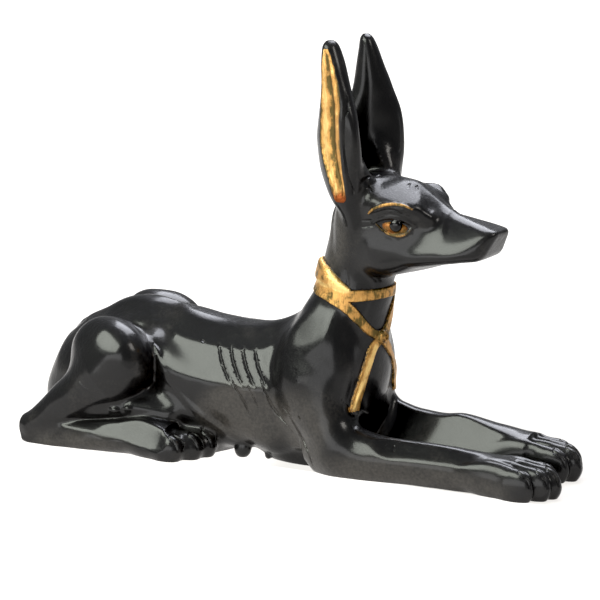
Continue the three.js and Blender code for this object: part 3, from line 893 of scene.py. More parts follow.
@dataclass(frozen=True)
class Ear:
    """Ear: a pointed leaf with a hollow, painted lining that is turned outwards and back.

    Attributes:
        base: The foot of its axis.
        tip: The top of its axis.
        back: How far the leaf is turned back, in degrees.
        leaf: Stations of (share of the height, half width, half thickness, bow towards the front).
        lining: Stations of (share of the height, rear edge of the lining, its front edge).
        painted: From where to where the lining is painted, as shares of the height.
        inward: How far inwards it is painted, in half thicknesses.
        outer: How far out from the leaf's middle its outer face begins and is full.
        hollow: How deep the lining lies.
        hollow_rise: Where it is hollow, as shares of the height.
        hollow_edge: Where across the lining its hollow begins and is full.
        groove: How much deeper its middle lies.
        groove_at: Where across the lining that is.
        groove_rise: Where it is, as shares of the height.
        rim_groove: How deep the groove in the front rim is.
        rim_at: Where in front of the lining that is.
        rim_rise: Where it is, as shares of the height.
        swells: The swellings across the lining on both sides of its middle.
        full_width: How wide the leaf has to be for the full depth of all this.
        least_depth: The share of the depth that is left where it is narrowest.
        root: What runs from the ear's front edge down to the skull.
    """

    base: Triple = (59.5, -5.2, 45.5)
    tip: Triple = (57.86, -6.28, 72.3)
    back: float = 28.0
    leaf: Profile = Profile([
        (-0.14, 0.4, 0.3, 2.6), (-0.07, 1.5, 1.3, 2.3), (0, 2.5, 2.2, 1.7), (0.08, 3.6, 2.6, 1.15),
        (0.2, 4.8, 2.65, 0.45), (0.35, 5.38, 2.45, 0.25), (0.5, 4.95, 2.35, 0.4),
        (0.65, 3.5, 2.35, 0.6), (0.8, 2.4, 2.2, 0.3), (0.9, 1.75, 1.9, 0.05), (0.96, 1.3, 1.55, -0.15),
        (0.985, 0.95, 1.15, -0.25), (1, 0.5, 0.6, -0.3),
    ])
    lining: Profile = Profile([
        (0.015, 0.6, 1.6), (0.03, 0.1, 2.1), (0.055, -0.05, 2.45), (0.1, -0.1, 2.75),
        (0.15, -0.25, 3.05), (0.2, -0.65, 3.2), (0.25, -1.2, 3.25), (0.3, -1.7, 3.2),
        (0.36, -2.15, 3.12), (0.42, -2.3, 3.08), (0.49, -2.2, 3.1), (0.55, -2.05, 3.08),
        (0.62, -1.85, 2.95), (0.69, -1.65, 2.68), (0.74, -1.4, 2.45), (0.79, -1, 2.15),
        (0.84, -0.65, 1.85), (0.885, -0.3, 1.5), (0.92, -0.05, 1.25), (0.955, 0.1, 0.85),
    ])
    painted: Limits = (0.02, 0.955)
    inward: float = 0.05
    outer: Limits = (0.0, 0.35)
    hollow: float = 0.75
    hollow_rise: Stretch = Stretch((0.01, 0.08), (0.955, 0.9))
    hollow_edge: Limits = (1.06, 0.62)
    groove: float = 0.5
    groove_at: Hill = Hill(0.02, 0.42)
    groove_rise: Stretch = Stretch((0.02, 0.14), (0.93, 0.8))
    rim_groove: float = 0.4
    rim_at: Hill = Hill(0.7, 0.3)
    rim_rise: Stretch = Stretch((0.03, 0.12), (0.92, 0.8))
    swells: tuple[Hill, Hill] = (Hill(-0.58, 0.4, 0.22), Hill(0.62, 0.34, 0.14))
    full_width: float = 4.0
    least_depth: float = 0.35
    root: Form = Strand([
        (60, -5.2, 55.5, 0.4), (61.2, -5.1, 52.6, 1.4), (62.6, -4.9, 49.6, 1.9),
        (64.2, -4.1, 46.6, 1.2),
    ])

    @cached_property
    def axes(self) -> Array:
        """Return the ear's height, front edge and outward directions as rows."""
        up = Vector(self.tip) - Vector(self.base)
        turn = math.radians(self.back)
        across = up.cross(Vector((-math.sin(turn), -math.cos(turn), 0))).normalized()
        return np.array([up.normalized(), across, across.cross(up).normalized()])

    @cached_property
    def height(self) -> float:
        """Return the ear's height along its axis."""
        return math.dist(self.base, self.tip)

    def place(self, q: Array) -> EarPlace:
        """See points in the ear's own frame.

        Args:
            q: Points on the right side.

        Returns:
            The points as the ear has them.
        """
        along, across, out = ((q - self.base) @ self.axes.T).T
        rise = along / self.height
        wide, thick, bow = self.leaf.values(rise).T
        across = across - bow
        rear, front = self.lining.values(rise).T
        share = (2 * across - rear - front) / (front - rear)
        return EarPlace(rise, across, out, wide, thick, share)

    def lining_distance(self, q: Array) -> Array:
        """Measure how far points lie outside the painted lining.

        Args:
            q: Points on the right side.

        Returns:
            One distance a point.
        """
        at = self.place(q)
        rear, front = self.lining.values(at.rise).T
        side = (np.abs(at.share) - 1) * (front - rear) / 2
        ends = np.maximum(self.painted[0] - at.rise, at.rise - self.painted[1]) * self.height
        inward = -at.out - self.inward * at.thick
        return np.maximum(np.maximum(side, ends), inward)

    def relief(self, q: Array) -> Array:
        """Work out how far the ear's outer face is pressed in.

        Args:
            q: Points on the right side.

        Returns:
            One depth a point.
        """
        at = self.place(q)
        front = self.lining.values(at.rise).T[1]
        bed = fade_in(np.abs(at.share), *self.hollow_edge)
        middle = self.groove_rise.faded(at.rise, self.groove_at.at(at.share))
        rim = self.rim_rise.faded(at.rise, self.rim_at.at(at.across - front))
        rear_swell, front_swell = self.swells
        swell = rear_swell.at(at.share) + front_swell.at(at.share)
        depth = self.hollow * bed + self.groove * middle + self.rim_groove * rim - swell * bed
        narrow = np.clip(at.wide / self.full_width, self.least_depth, 1.0)
        return depth * fade_in(at.out, *self.outer) * self.hollow_rise.faded(at.rise) * narrow

    def distance(self, q: Array) -> Array:
        """Measure the ear.

        Args:
            q: Points on the right side.

        Returns:
            One distance a point.
        """
        at = self.place(q)
        side = ellipse(at.across, at.out, at.wide, at.thick)
        past = np.maximum(np.maximum(at.rise - 1, self.leaf.stations[0][0] - at.rise), 0.0) * self.height
        body = np.where(past > 0, length(np.maximum(side, 0.0), past), side)
        return join(body + self.relief(q), self.root.distance(q), seam=1.5)


@dataclass(frozen=True)
class Sash:
    """A sash round the neck: bands of cloth that are knotted on the breast.

    Attributes:
        knot_at: Where the knot is.
        thickness: How far a band stands out from the body.
        collar: The band round the neck.
        nape_fold: The broad fold over the nape, on both sides.
        vee: The band that falls from the nape to the knot on both sides.
        near_strap: The strap that hangs from the knot on the right.
        strap_ridge: The raised fold that runs down this strap.
        far_strap: The strap that hangs from the knot on the left.
        knot: The knot.
        knot_hole: The hollow in its middle.
    """

    knot_at: Triple = (65.0, -1.0, 22.6)
    thickness: float = 0.38
    collar: Form = Strand([
        (51.9, 0, 34.4, 1.6), (54.4, -3.9, 32.9, 1.5), (57.3, -6, 31, 1.35), (60.6, -6.2, 30, 1),
        (63.2, -5, 30, 0.9), (64.9, -3, 30.1, 0.85), (65.7, 0, 30.2, 0.85), (64.9, 3, 30.1, 0.95),
        (63.2, 5, 29.9, 1), (60.6, 6.2, 29.9, 1.1), (57.3, 6, 31, 1.35), (54.4, 3.9, 32.9, 1.5),
        (51.9, 0, 34.4, 1.6),
    ])
    nape_fold: Form = Strand([
        (51.4, 0, 34.3, 1.7), (53.4, -3.4, 33.7, 1.85), (56.2, -5.2, 32.9, 1.6),
        (58.8, -6.1, 31.9, 1), (61.2, -6.1, 30.9, 0.4),
    ])
    vee: Form = Strand([
        (*knot_at, 0.8), (64.1, -3.2, 23.6, 0.75), (62.9, -5.2, 25.8, 0.85), (61.2, -6.4, 28.0, 0.9),
        (57.6, -6.6, 30, 1.1), (54.2, -4.6, 31.1, 1.4), (51.4, 0, 32.4, 1.5), (54.2, 4.6, 31.1, 1.4),
        (57.6, 6.6, 29.8, 1.3), (61.4, 6.4, 29, 1.1), (63.8, 4.6, 28.2, 1.05), (64.8, 2.4, 26.2, 1),
        (64.8, 0.6, 23.7, 0.9), (*knot_at, 0.8),
    ])
    near_strap: Form = Strand([
        (*knot_at, 0.7), (64.2, -2.9, 20.9, 0.85), (63.9, -4.7, 17.6, 0.95), (63.3, -5.8, 14.6, 1.05),
        (62.6, -6.7, 10.9, 1.15),
    ])
    strap_ridge: Form = Strand([
        (64.6, -2.5, 21.2, 0.2), (64.1, -4.4, 17.8, 0.3), (63.6, -5.9, 14.6, 0.32),
        (62.9, -7.1, 11.2, 0.2),
    ])
    far_strap: Form = Strand([
        (*knot_at, 0.7), (64.6, 0.9, 20.7, 0.85), (64, 3.8, 17.7, 0.95), (63.2, 6, 15.4, 1.05),
        (62, 7.6, 12.4, 1.15),
    ])
    knot: Form = Lump(knot_at, (0.9, 1.25, 1.2))
    knot_hole: Form = Lump((knot_at[0] + 1.0, *knot_at[1:]), (0.8, 0.5, 0.5))

    FOLD_HEIGHT = 2.5  # how far these two stand out at most, in thicknesses of a band
    RIDGE_HEIGHT = 2.0

    def bands(self, p: Array) -> Array:
        """Measure how far points lie from the cloth's bands."""
        d = join(self.collar.distance(p), self.vee.distance(p), seam=0.2)
        return join(join(d, self.near_strap.distance(p), seam=0.2), self.far_strap.distance(p), seam=0.2)

    def cloth_distance(self, p: Array) -> Array:
        """Measure how far points lie outside everything that belongs to the sash."""
        d = np.minimum(self.bands(p), self.knot.distance(p))
        return np.minimum(d, self.nape_fold.distance(mirrored(p)))

    def distance(self, p: Array, body: Array) -> Array:
        """Measure the sash.

        Args:
            p: The points.
            body: Distances to the body that it lies on.

        Returns:
            One distance a point.
        """
        laid = np.maximum(self.bands(p), body - self.thickness)
        fold = self.nape_fold.distance(mirrored(p))
        fold = carve(fold, self.FOLD_HEIGHT * self.thickness - body, seam=1.0)
        ridge = np.maximum(self.strap_ridge.distance(p), body - self.RIDGE_HEIGHT * self.thickness)
        laid = join(join(laid, fold, seam=0.3), ridge, seam=0.25)
        return carve(join(laid, self.knot.distance(p), seam=0.3), self.knot_hole.distance(p), seam=0.2)


@dataclass(frozen=True)
class Toe:
    """One toe of a paw.

    Attributes:
        out: Its place across the paw, in toe widths to the outside.
        short: How much sooner than the longest one it ends.
    """

    out: float
    short: float


@dataclass(frozen=True)
class Bone:
    """One of the lumps that a toe is made of, in shares of the toe's size.

    Attributes:
        back: How far its middle lies behind the toe's end.
        high: How high its middle lies.
        spread: How far out it lies, in places of the toe.
        radii: Its half axes.
        pitch: How far it points down in front, in degrees.
    """

    back: float
    high: float
    spread: float
    radii: Triple
    pitch: float


@dataclass(frozen=True)
class Claw:
    """The line that is engraved round a claw, in shares of the toe's size.

    Attributes:
        back: How far the claw's middle lies behind the toe's end.
        long: Half its length.
        wide: Half its width.
        lower: The height at which the line begins, and from which on it is full.
        line: The line's section across, in hundredths.
    """

    back: float = 0.1
    long: float = 0.13
    wide: float = 0.27
    lower: Limits = (0.34, 0.5)
    line: Hill = Hill(0.0, 0.2)


TOES = (Toe(1.5, 3.0), Toe(0.5, 0.9), Toe(-0.5, 0.0), Toe(-1.5, 1.3))
BONES = (Bone(0.62, 0.44, 0.9, (0.6, 0.62, 0.53), 6), Bone(0.26, 0.34, 1.0, (0.27, 0.6, 0.52), 12))
CLAW = Claw()


@dataclass(frozen=True)
class Paw:
    """Four toes side by side, with claws engraved in them.

    Attributes:
        reach: Where the longest toe ends.
        y: The paw's middle.
        pitch: The width of a toe.
        length: The length of a toe.
        height: The height of a toe.
        groove: How deep the lines round a claw are.
        seam: How soft the seams between the toes are.
    """

    reach: float
    y: float
    pitch: float
    length: float
    height: float
    groove: float = 0.13
    seam: float = 0.45

    CLAWS_REACH = 1.0  # how far round the toes the claws' lines are worked out

    @cached_property
    def toes(self) -> Form:
        """Run the toes together.

        Returns:
            All four of them, without claws.
        """
        digits = []
        for toe in TOES:
            lumps = []
            for bone in BONES:
                x = self.reach - toe.short - bone.back * self.length
                y = self.y - toe.out * self.pitch * bone.spread
                long, wide, high = bone.radii
                radii = (long * self.length, wide * self.pitch, high * self.height)
                lumps.append(Lump((x, y, bone.high * self.height), radii, bone.pitch))
            digits.append(Cluster(lumps, seam=1.5))
        return Cluster(digits, self.seam)

    def claws(self, q: Array) -> Array:
        """Work out how deep the lines round the claws are pressed in.

        Args:
            q: Points on the right side.

        Returns:
            One depth a point.
        """
        x, y, z = q.T
        half_long = np.array(CLAW.long * self.length)
        half_wide = np.array(CLAW.wide * self.pitch)
        high = fade_in(z, *(share * self.height for share in CLAW.lower))
        depth = np.zeros(len(q))
        for toe in TOES:
            u = x - (self.reach - toe.short - CLAW.back * self.length)
            v = y - (self.y - toe.out * self.pitch)
            outline = squared(u, v, half_long, half_wide)
            depth = np.maximum(depth, CLAW.line.at(outline) * high)
        return self.groove * depth

    def distance(self, q: Array) -> Array:
        """Measure the paw at points on the right side."""
        d = self.toes.distance(q)
        near = d < self.CLAWS_REACH
        d[near] += self.claws(q[near])
        return d


@dataclass(frozen=True)
class Foreleg:
    """A foreleg, stretched forward along the ground.

    Attributes:
        arm: The leg as far as the paw.
        paw: The paw.
        facet: The flat on the side that faces to the figure's right.
    """

    arm: Form
    paw: Paw
    facet: Form

    def distance(self, q: Array) -> Array:
        """Measure the foreleg at points on the right side."""
        arm = carve(self.arm.distance(q), self.facet.distance(q), seam=0.3)
        return join(arm, self.paw.distance(q), seam=1.6)


@dataclass(frozen=True)
class HindLeg:
    """A hind leg: thigh, knee and shin folded together, the hock, and a foot flat on the ground.

    Attributes:
        lag: How much further back the thigh lies than on the right side.
        rise: How much higher it lies.
        foot: The foot.
        foot_side: The flat sides of the foot by the hock.
        foot_top: The flat slope on the foot further forward.
        thigh_side: The flats on the thigh.
        clay: What fills the hollow between thigh and foot.
        paw: Its toes.
    """

    lag: float = 0.0
    rise: float = 0.0
    foot: Form = Loft([
        (1.7, -0.4, 4.6, 2.2, -14.7), (5, -1.6, 5.2, 2.5, -14.7), (10, -1.2, 4.8, 2.4, -14.4),
        (15, -0.8, 4.9, 2.5, -14), (20, -0.5, 5.6, 2.9, -13.4), (25, -0.5, 6.4, 3.6, -12.8),
        (30, -0.8, 5.6, 4.6, -12),
    ])
    foot_side: Form = Cluster(
        [Facet((8, -16.1, 3.6), 8, -2, (4, 16)), Facet((12, -15.4, 4.3), 50, 2, (2, 16))], seam=0.3
    )
    foot_top: Form = Facet((24.5, -14.72, 5.2), 30, 1, (19, 28))
    thigh_side: Form = Cluster(
        [Facet((19.9, -15, 20.15), 31, 3), Facet((21.8, -13.1, 21.6), 44, 16)], seam=0.2
    )
    clay: Form = Cluster([
        Strand(
            [(10, -13.6, 5.6, 1), (16, -13, 7, 1.7), (22, -11.8, 7.6, 1.8), (28, -10, 6.6, 1.4)],
            2,
        ),
        Lump((19.6, -13.9, 7.3), (1.1, 0.8, 0.6)),
        Lump((22.0, -13.2, 7.7), (0.8, 0.8, 0.5)),
    ], seam=0.4)
    paw: Paw = Paw(reach=36.6, y=-10.6, pitch=2.9, length=9, height=5, groove=0.2, seam=1.3)

    @cached_property
    def folded(self) -> Form:
        """Return thigh, knee and shin."""
        forms = (
            Lump((16.6 - self.lag, -10.2, 14.9 + self.rise), (7.2, 5.4, 8), -35),
            Lump((19.9 - self.lag, -12.1, 16.2 + self.rise), (4.9, 4.4, 5.6), -20),
            Strand([(16.4 - self.lag, -11.9, 12.6, 5.1), (3.0, -14.8, 2.8, 2.2)], 1),
        )
        return Cluster(forms, seam=2.5)

    def distance(self, q: Array) -> Array:
        """Measure the hind leg at points on the right side."""
        foot = carve(self.foot.distance(q), self.foot_side.distance(q), seam=0.15)
        foot = carve(join(foot, self.paw.distance(q), seam=1.4), self.foot_top.distance(q), seam=0.3)
        thigh = carve(self.folded.distance(q), self.thigh_side.distance(q), seam=0.4)
        return join(join(thigh, foot, seam=1.2), self.clay.distance(q), seam=1.0)


@dataclass(frozen=True)
class Figure:
    """The whole figure, which stands on the ground.

    Attributes:
        trunk: Body and tail.
        neck: Neck and shoulders.
        head: Head without the ears.
        ear: The ears.
        sash: The sash.
        upper_arm: The upper arms.
        forelegs: The right and left foreleg.
        hind_legs: The right and left hind leg. The left haunch lies further back and a little higher.
        left_brow: What stands out further on the left brow than on the right one.
        scores: Creases and nicks scored into the right side, as strands on the middle plane.
        score_depth: How deep these are at most.
        score_side: How far in from its edge a score is at its deepest.
        score_inner: Where scores begin to show, by y.
        head_above: The height above which head and ears lie.
        sash_above: The height above which the sash lies.
        sash_beyond: How far forward the sash begins.
        hand: The unevenness of the whole surface.
        sole_edge: How round the edges of the flat soles are.
    """

    trunk: Trunk = Trunk()
    neck: Neck = Neck()
    head: Head = Head()
    ear: Ear = Ear()
    sash: Sash = Sash()
    upper_arm: Form = Strand([(54.5, -6.6, 14.5, 5.2), (60.5, -7.8, 4.6, 4.2)], 1)
    forelegs: tuple[Foreleg, Foreleg] = (
        Foreleg(
            Loft([
                (54.5, 1, 6, 2.4, -7.2), (56.5, -0.6, 8, 3.4, -7.4), (60, -1.6, 9.4, 4, -7.7),
                (64, -1.5, 8.3, 3.9, -7.6), (68, -1.2, 7.3, 3.7, -7.4), (73, -1, 7, 3.5, -7),
                (79, -1, 6.9, 3.4, -6.6), (84, -1, 6.6, 3.5, -6.3), (88, -1, 6.2, 3.8, -6.1),
                (92, -1, 5.2, 3.8, -6),
            ]),
            Paw(reach=99.7, y=-6, pitch=2.1, length=10, height=5.8),
            Cluster([
                Facet((74, -9.0, 5.6), 47, 4, (72, 86)),
                Facet((68.4, -10.45, 5.7), 29, 0, (67.6, 69.2)),
            ], seam=0.3),
        ),
        Foreleg(
            Loft([
                (54.5, 1, 6, 2.4, -7.2), (56.5, -0.6, 8.4, 3.4, -7.4), (60, -1.6, 10.4, 4.3, -7.6),
                (64, -1.5, 9.6, 4.3, -7.6), (68, -1.2, 8.8, 4.2, -7.5), (72.5, -1, 8.5, 4.1, -7.4),
                (76, -1, 8.9, 4.1, -7.4), (80, -1, 8.3, 4.1, -7.5), (84, -1, 7.6, 4.2, -7.7),
                (88.5, -1, 6.9, 4, -7.9),
            ]),
            Paw(reach=97.8, y=-8, pitch=2.1, length=10.5, height=6.4),
            Facet((78, -4.5, 5.2), 30, 180, (64, 92)),
        ),
    )
    hind_legs: tuple[HindLeg, HindLeg] = (HindLeg(), HindLeg(lag=3.6, rise=1.0))
    left_brow: Form = Strand([(69.0, 5.0, 47.1, 0.9), (71.2, 5.8, 46.9, 1.1), (72.8, 5.5, 45.7, 0.85)])
    scores: Sequence[Strand] = (
        Strand([(40.2, 0, 14.2, 0.1), (41.6, 0, 12.6, 0.3), (43.0, 0, 10.6, 0.4), (43.9, 0, 8.3, 0.1)]),
        Strand([(43.6, 0, 13.8, 0.1), (45.0, 0, 11.4, 0.25), (45.8, 0, 9.4, 0.1)]),
        Strand([(45.8, 0, 14.6, 0.1), (47.4, 0, 12.2, 0.35), (48.9, 0, 9.6, 0.45), (52.3, 0, 6.7, 0.1)]),
        Strand([
            (52.3, 0, 9.6, 0.1), (53.7, 0, 7.5, 0.4), (54.8, 0, 5.5, 0.4), (56.4, 0, 3.2, 0.3),
            (57.1, 0, 0.6, 0.1),
        ]),
        Strand([(50.5, 0, 11.1, 0.1), (51.7, 0, 10.2, 0.3), (53.0, 0, 9.6, 0.1)]),
        Strand([(61.7, 0, 12.9, 0.15), (62.3, 0, 11.1, 0.35), (62.9, 0, 9.4, 0.2)]),
        Strand([(14.3, 0, 12.3, 0.15), (15.9, 0, 11.1, 0.2)], 1),
        Strand([(32.6, 0, 19.4, 0.25), (33.1, 0, 19.2, 0.2)], 1),
        Strand([(70.2, 0, 48.8, 0.3), (70.5, 0, 48.5, 0.2)], 1),
        Strand([(71.4, 0, 48.5, 0.25), (71.9, 0, 48.0, 0.2)], 1),
        Strand([(64.7, 0, 51.0, 0.1), (64.3, 0, 49.4, 0.35), (65.3, 0, 47.9, 0.2)]),
        Strand([(71.3, 0, 6.1, 0.2), (71.5, 0, 5.4, 0.2)], 1),
        Strand([(86.0, 0, 39.2, 0.2), (86.2, 0, 38.6, 0.4)], 1),
    )
    score_depth: float = 0.24
    score_side: float = 0.42
    score_inner: Limits = (-0.8, -1.2)
    head_above: float = 28.0
    sash_above: float = 8.0
    sash_beyond: float = 48.0
    hand: Unevenness = Unevenness()
    sole_edge: float = 0.12

    def bare(self, p: Array, q: Array) -> Array:
        """Measure the figure without head and sash.

        Args:
            p: The points.
            q: The same points folded onto the right side.

        Returns:
            One distance a point.
        """
        right = p[:, 1] < 0
        d = self.neck.distance(self.trunk.distance(p, q), q) - self.trunk.ribs.relief(q)
        d = join(d, self.upper_arm.distance(q), seam=2.2)
        for side, fore, hind in zip((right, ~right), self.forelegs, self.hind_legs):
            own = join(d[side], fore.distance(q[side]), seam=1.2)
            d[side] = join(own, hind.distance(q[side]), seam=1.3)
        d[right] = join(d[right], self.trunk.nubs.distance(p[right]), seam=0.4)
        return d

    def scored(self, p: Array) -> Array:
        """Work out how deep the right side is scored.

        Args:
            p: The points.

        Returns:
            One depth a point.
        """
        flat = flattened(p)
        depth = np.zeros(len(p))
        for score in self.scores:
            depth = np.maximum(depth, fade_in(score.distance(flat), 0.0, -self.score_side))
        return self.score_depth * depth * fade_in(p[:, 1], *self.score_inner)

    def distance(self, p: Array) -> Array:
        """Measure how far points lie from the figure's surface.

        Args:
            p: The points.

        Returns:
            One distance a point, negative inside.
        """
        q = mirrored(p)
        d = self.bare(p, q)
        high = p[:, 2] > self.head_above
        raised = join(d[high], self.head.distance(q[high]), seam=2.2)
        raised = join(raised, self.left_brow.distance(p[high]), seam=1.0)
        raised = join(raised, self.ear.distance(q[high]), seam=1.6)
        d[high] = carve(raised, self.neck.crease.distance(q[high]), seam=0.3)
        breast = (p[:, 2] > self.sash_above) & (p[:, 0] > self.sash_beyond)
        d[breast] = join(d[breast], self.sash.distance(p[breast], d[breast]), seam=0.15)
        return carve(d + self.scored(p) - self.hand.relief(p), p[:, 2], self.sole_edge)


# Skin


@dataclass
class Skin:
    """A closed skin of triangles.

    Attributes:
        points: Its points, one row each.
        faces: Its triangles, as rows of three point numbers.
    """

    points: Array
    faces: Array


# The triangles that replace one whose edges are split, by which edges are: 1 for the first, 2 for the
# second and 4 for the third. Corners are 0, 1 and 2, and the middles of the edges 3, 4 and 5.
SPLITS = (
    ((0, 1, 2),),
    ((0, 3, 2), (3, 1, 2)),
    ((0, 1, 4), (0, 4, 2)),
    ((3, 1, 4), (0, 3, 4), (0, 4, 2)),
    ((0, 1, 5), (5, 1, 2)),
    ((0, 3, 5), (3, 1, 2), (3, 2, 5)),
    ((5, 4, 2), (0, 1, 4), (0, 4, 5)),
    ((0, 3, 5), (3, 1, 4), (5, 4, 2), (3, 4, 5)),
)


@dataclass(frozen=True)
class Skinner:
    """Draws a skin where a form's distance is zero.

    Attributes:
        low: The lowest corner of the room that is searched.
        high: Its highest corner.
        step: How far the points that are measured lie apart.
        block: How many of them a block has along each side. Only blocks near the surface are measured.
        margin: How many half diagonals a block may lie from the surface to be near.
        reach: How far to both sides of a point its slope is measured.
        gentlest: The least squared slope that moves a point.
        settlings: How often the first points are moved.
        late_settlings: How often added points are.
        budget: How many triangles the skin may have.
        cost: How many triangles a split edge may bring.
        rounds: How often edges are split.
        spreads: How often splits pass on to the longest edges beside them.
        finest: The shortest edge that is split.
        slack: How far from the surface the middle of an edge may lie before it is split.
    """

    low: Triple = (-4.0, -22.4, -1.3)
    high: Triple = (104.0, 22.4, 76.0)
    step: float = 0.56
    block: int = 5
    margin: float = 1.4
    reach: float = 0.03
    gentlest: float = 0.25
    settlings: int = 3
    late_settlings: int = 2
    budget: int = 185_000
    cost: int = 4
    rounds: int = 3
    spreads: int = 4
    finest: float = 0.2
    slack: float = 0.012

    def lattice(self, counts: Sequence[int]) -> Array:
        """Number the places of a lattice with the given counts along its axes, one row each."""
        return np.stack(np.meshgrid(*map(np.arange, counts), indexing="ij"), -1).reshape(-1, 3)

    def sample(self, figure: Figure) -> Array:
        """Measure the distance at points a step apart.

        Args:
            figure: What is measured.

        Returns:
            The distances as a box of numbers. A block far from the surface holds its middle's distance.
        """
        low = np.array(self.low)
        blocks = np.ceil((np.array(self.high) - low) / (self.step * self.block)).astype(int)
        corners = self.lattice(blocks) * self.block
        middles = figure.distance(low + (corners + (self.block - 1) / 2) * self.step)
        values = middles.reshape(blocks).astype(np.float32)
        for axis in range(3):
            values = values.repeat(self.block, axis)
        near = np.abs(middles) < self.margin * math.sqrt(3) / 2 * self.block * self.step
        nodes = (corners[near][:, None] + self.lattice([self.block] * 3)).reshape(-1, 3)
        values[tuple(nodes.T)] = figure.distance(low + nodes * self.step)
        return values

    def normals(self, figure: Figure, points: Array) -> Array:
        """Work out the direction in which the distance grows.

        Args:
            figure: What is measured.
            points: Points near its surface, one row each.

        Returns:
            One direction a point, of about unit length.
        """
        slopes = []
        for axis in np.eye(3) * self.reach:
            rise = figure.distance(points + axis) - figure.distance(points - axis)
            slopes.append(rise / (2 * self.reach))
        return np.array(slopes).T

    def settle(self, figure: Figure, points: Array, times: int) -> Array:
        """Move points onto the surface.

        Args:
            figure: The form whose surface it is.
            points: Points near it, one row each.
            times: How often they are moved.

        Returns:
            The moved points.
        """
        for _ in range(times):
            slope = self.normals(figure, points)
            steep = np.maximum((slope * slope).sum(1), self.gentlest)
            shift = np.clip(figure.distance(points) / steep, -self.step, self.step)
            points = points - shift[:, None] * slope
        return points

    def refine(self, figure: Figure, skin: Skin) -> Skin:
        """Split the edges whose middles lie furthest from the surface.

        Args:
            figure: The form whose surface it is.
            skin: The skin to refine.

        Returns:
            A skin whose added points lie on the surface.
        """
        ends = skin.faces[:, [0, 1, 1, 2, 2, 0]].reshape(-1, 2)
        edges, number = np.unique(np.sort(ends, 1), axis=0, return_inverse=True)
        number = number.reshape(-1, 3)
        span = length(*(skin.points[edges[:, 0]] - skin.points[edges[:, 1]]).T)
        middles = skin.points[edges].mean(1)
        error = np.abs(figure.distance(middles)) * (span > self.finest)
        room = max((self.budget - len(skin.faces)) // self.cost, 0)
        floor = np.partition(error, -room)[-room] if room < len(error) else 0.0
        split = error > max(floor, self.slack)
        longest = number[np.arange(len(number)), span[number].argmax(1)]
        for _ in range(self.spreads):
            split[longest[split[number].any(1)]] = True
        fresh = np.full(len(edges), -1)
        fresh[split] = len(skin.points) + np.arange(split.sum())
        six = np.concatenate([skin.faces, fresh[number]], 1)
        kind = split[number] @ (1, 2, 4)
        faces = []
        for which, pattern in enumerate(SPLITS):
            faces += [six[kind == which][:, corners] for corners in pattern]
        added = self.settle(figure, middles[split], self.late_settlings)
        return Skin(np.concatenate([skin.points, added]), np.concatenate(faces))

    def draw(self, figure: Figure) -> Skin:
        """Draw the skin.

        Args:
            figure: The form that it is drawn over.

        Returns:
            A closed skin.
        """
        grid = openvdb.FloatGrid(background=FAR)
        grid.copyFromArray(self.sample(figure))
        points, quads = grid.convertToQuads(isovalue=0)
        points = self.settle(figure, np.array(self.low) + points * self.step, self.settlings)
        quads = quads.astype(int)
        skin = Skin(points, np.concatenate([quads[:, [0, 1, 2]], quads[:, [0, 2, 3]]]))
        log.info("skin: %d triangles at first", len(skin.faces))
        for _ in range(self.rounds):
            skin = self.refine(figure, skin)
            log.info("skin: %d triangles", len(skin.faces))
        skin.points[:, 2] = np.maximum(skin.points[:, 2], 0.0)
        a, b, c = skin.points[skin.faces].transpose(1, 0, 2)
        if (np.cross(a, b) * c).sum() < 0:
            skin.faces = skin.faces[:, ::-1]
        return skin


# Shaders


class Signal:
    """A number, colour or vector that a shader works out, which can be reckoned with like a number."""

    def __init__(self, shader: "Shader", socket: bpy.types.NodeSocket) -> None:
        """Wrap the socket that carries it."""
        self.shader = shader
        self.socket = socket

    def __add__(self, other: "Signal | float") -> "Signal":
        """Add a number."""
        return self.shader.math("ADD", self, other)

    def __radd__(self, other: float) -> "Signal":
        """Add to a number."""
        return self.shader.math("ADD", other, self)

    def __sub__(self, other: "Signal | float") -> "Signal":
        """Take a number away."""
        return self.shader.math("SUBTRACT", self, other)

    def __rsub__(self, other: float) -> "Signal":
        """Take away from a number."""
        return self.shader.math("SUBTRACT", other, self)

    def __mul__(self, other: "Signal | float") -> "Signal":
        """Multiply by a number."""
        return self.shader.math("MULTIPLY", self, other)

    def __rmul__(self, other: float) -> "Signal":
        """Multiply a number."""
        return self.shader.math("MULTIPLY", other, self)

    def most(self, other: "Signal | float") -> "Signal":
        """Return the larger of two numbers."""
        return self.shader.math("MAXIMUM", self, other)

    def least(self, other: "Signal | float") -> "Signal":
        """Return the smaller of two numbers."""
        return self.shader.math("MINIMUM", self, other)

    def ramp(self, start: float, end: float, low: float = 0.0, high: float = 1.0) -> "Signal":
        """Go smoothly from one number to another.

        Args:
            start: Where the change starts.
            end: Where it ends.
            low: The number up to the start.
            high: The number from the end on.

        Returns:
            The changed signal.
        """
        settings = {"interpolation_type": "SMOOTHSTEP"}
        inputs = {"Value": self, "From Min": start, "From Max": end, "To Min": low, "To Max": high}
        return self.shader.node("ShaderNodeMapRange", settings, inputs, "Result")


Value = Signal | float | Sequence[float]
MIDDLING = 0.5  # what noise is on average


@dataclass(frozen=True)
class Noise:
    """Cloudy noise over the figure, round 0.5.

    Attributes:
        size: How large its spots are, in hundredths.
        detail: How many finer layers it has.
        rough: How strong these are.
        stretch: How much longer the spots are along each axis.
    """

    size: float
    detail: float = 2.0
    rough: float = 0.5
    stretch: Triple = (1, 1, 1)


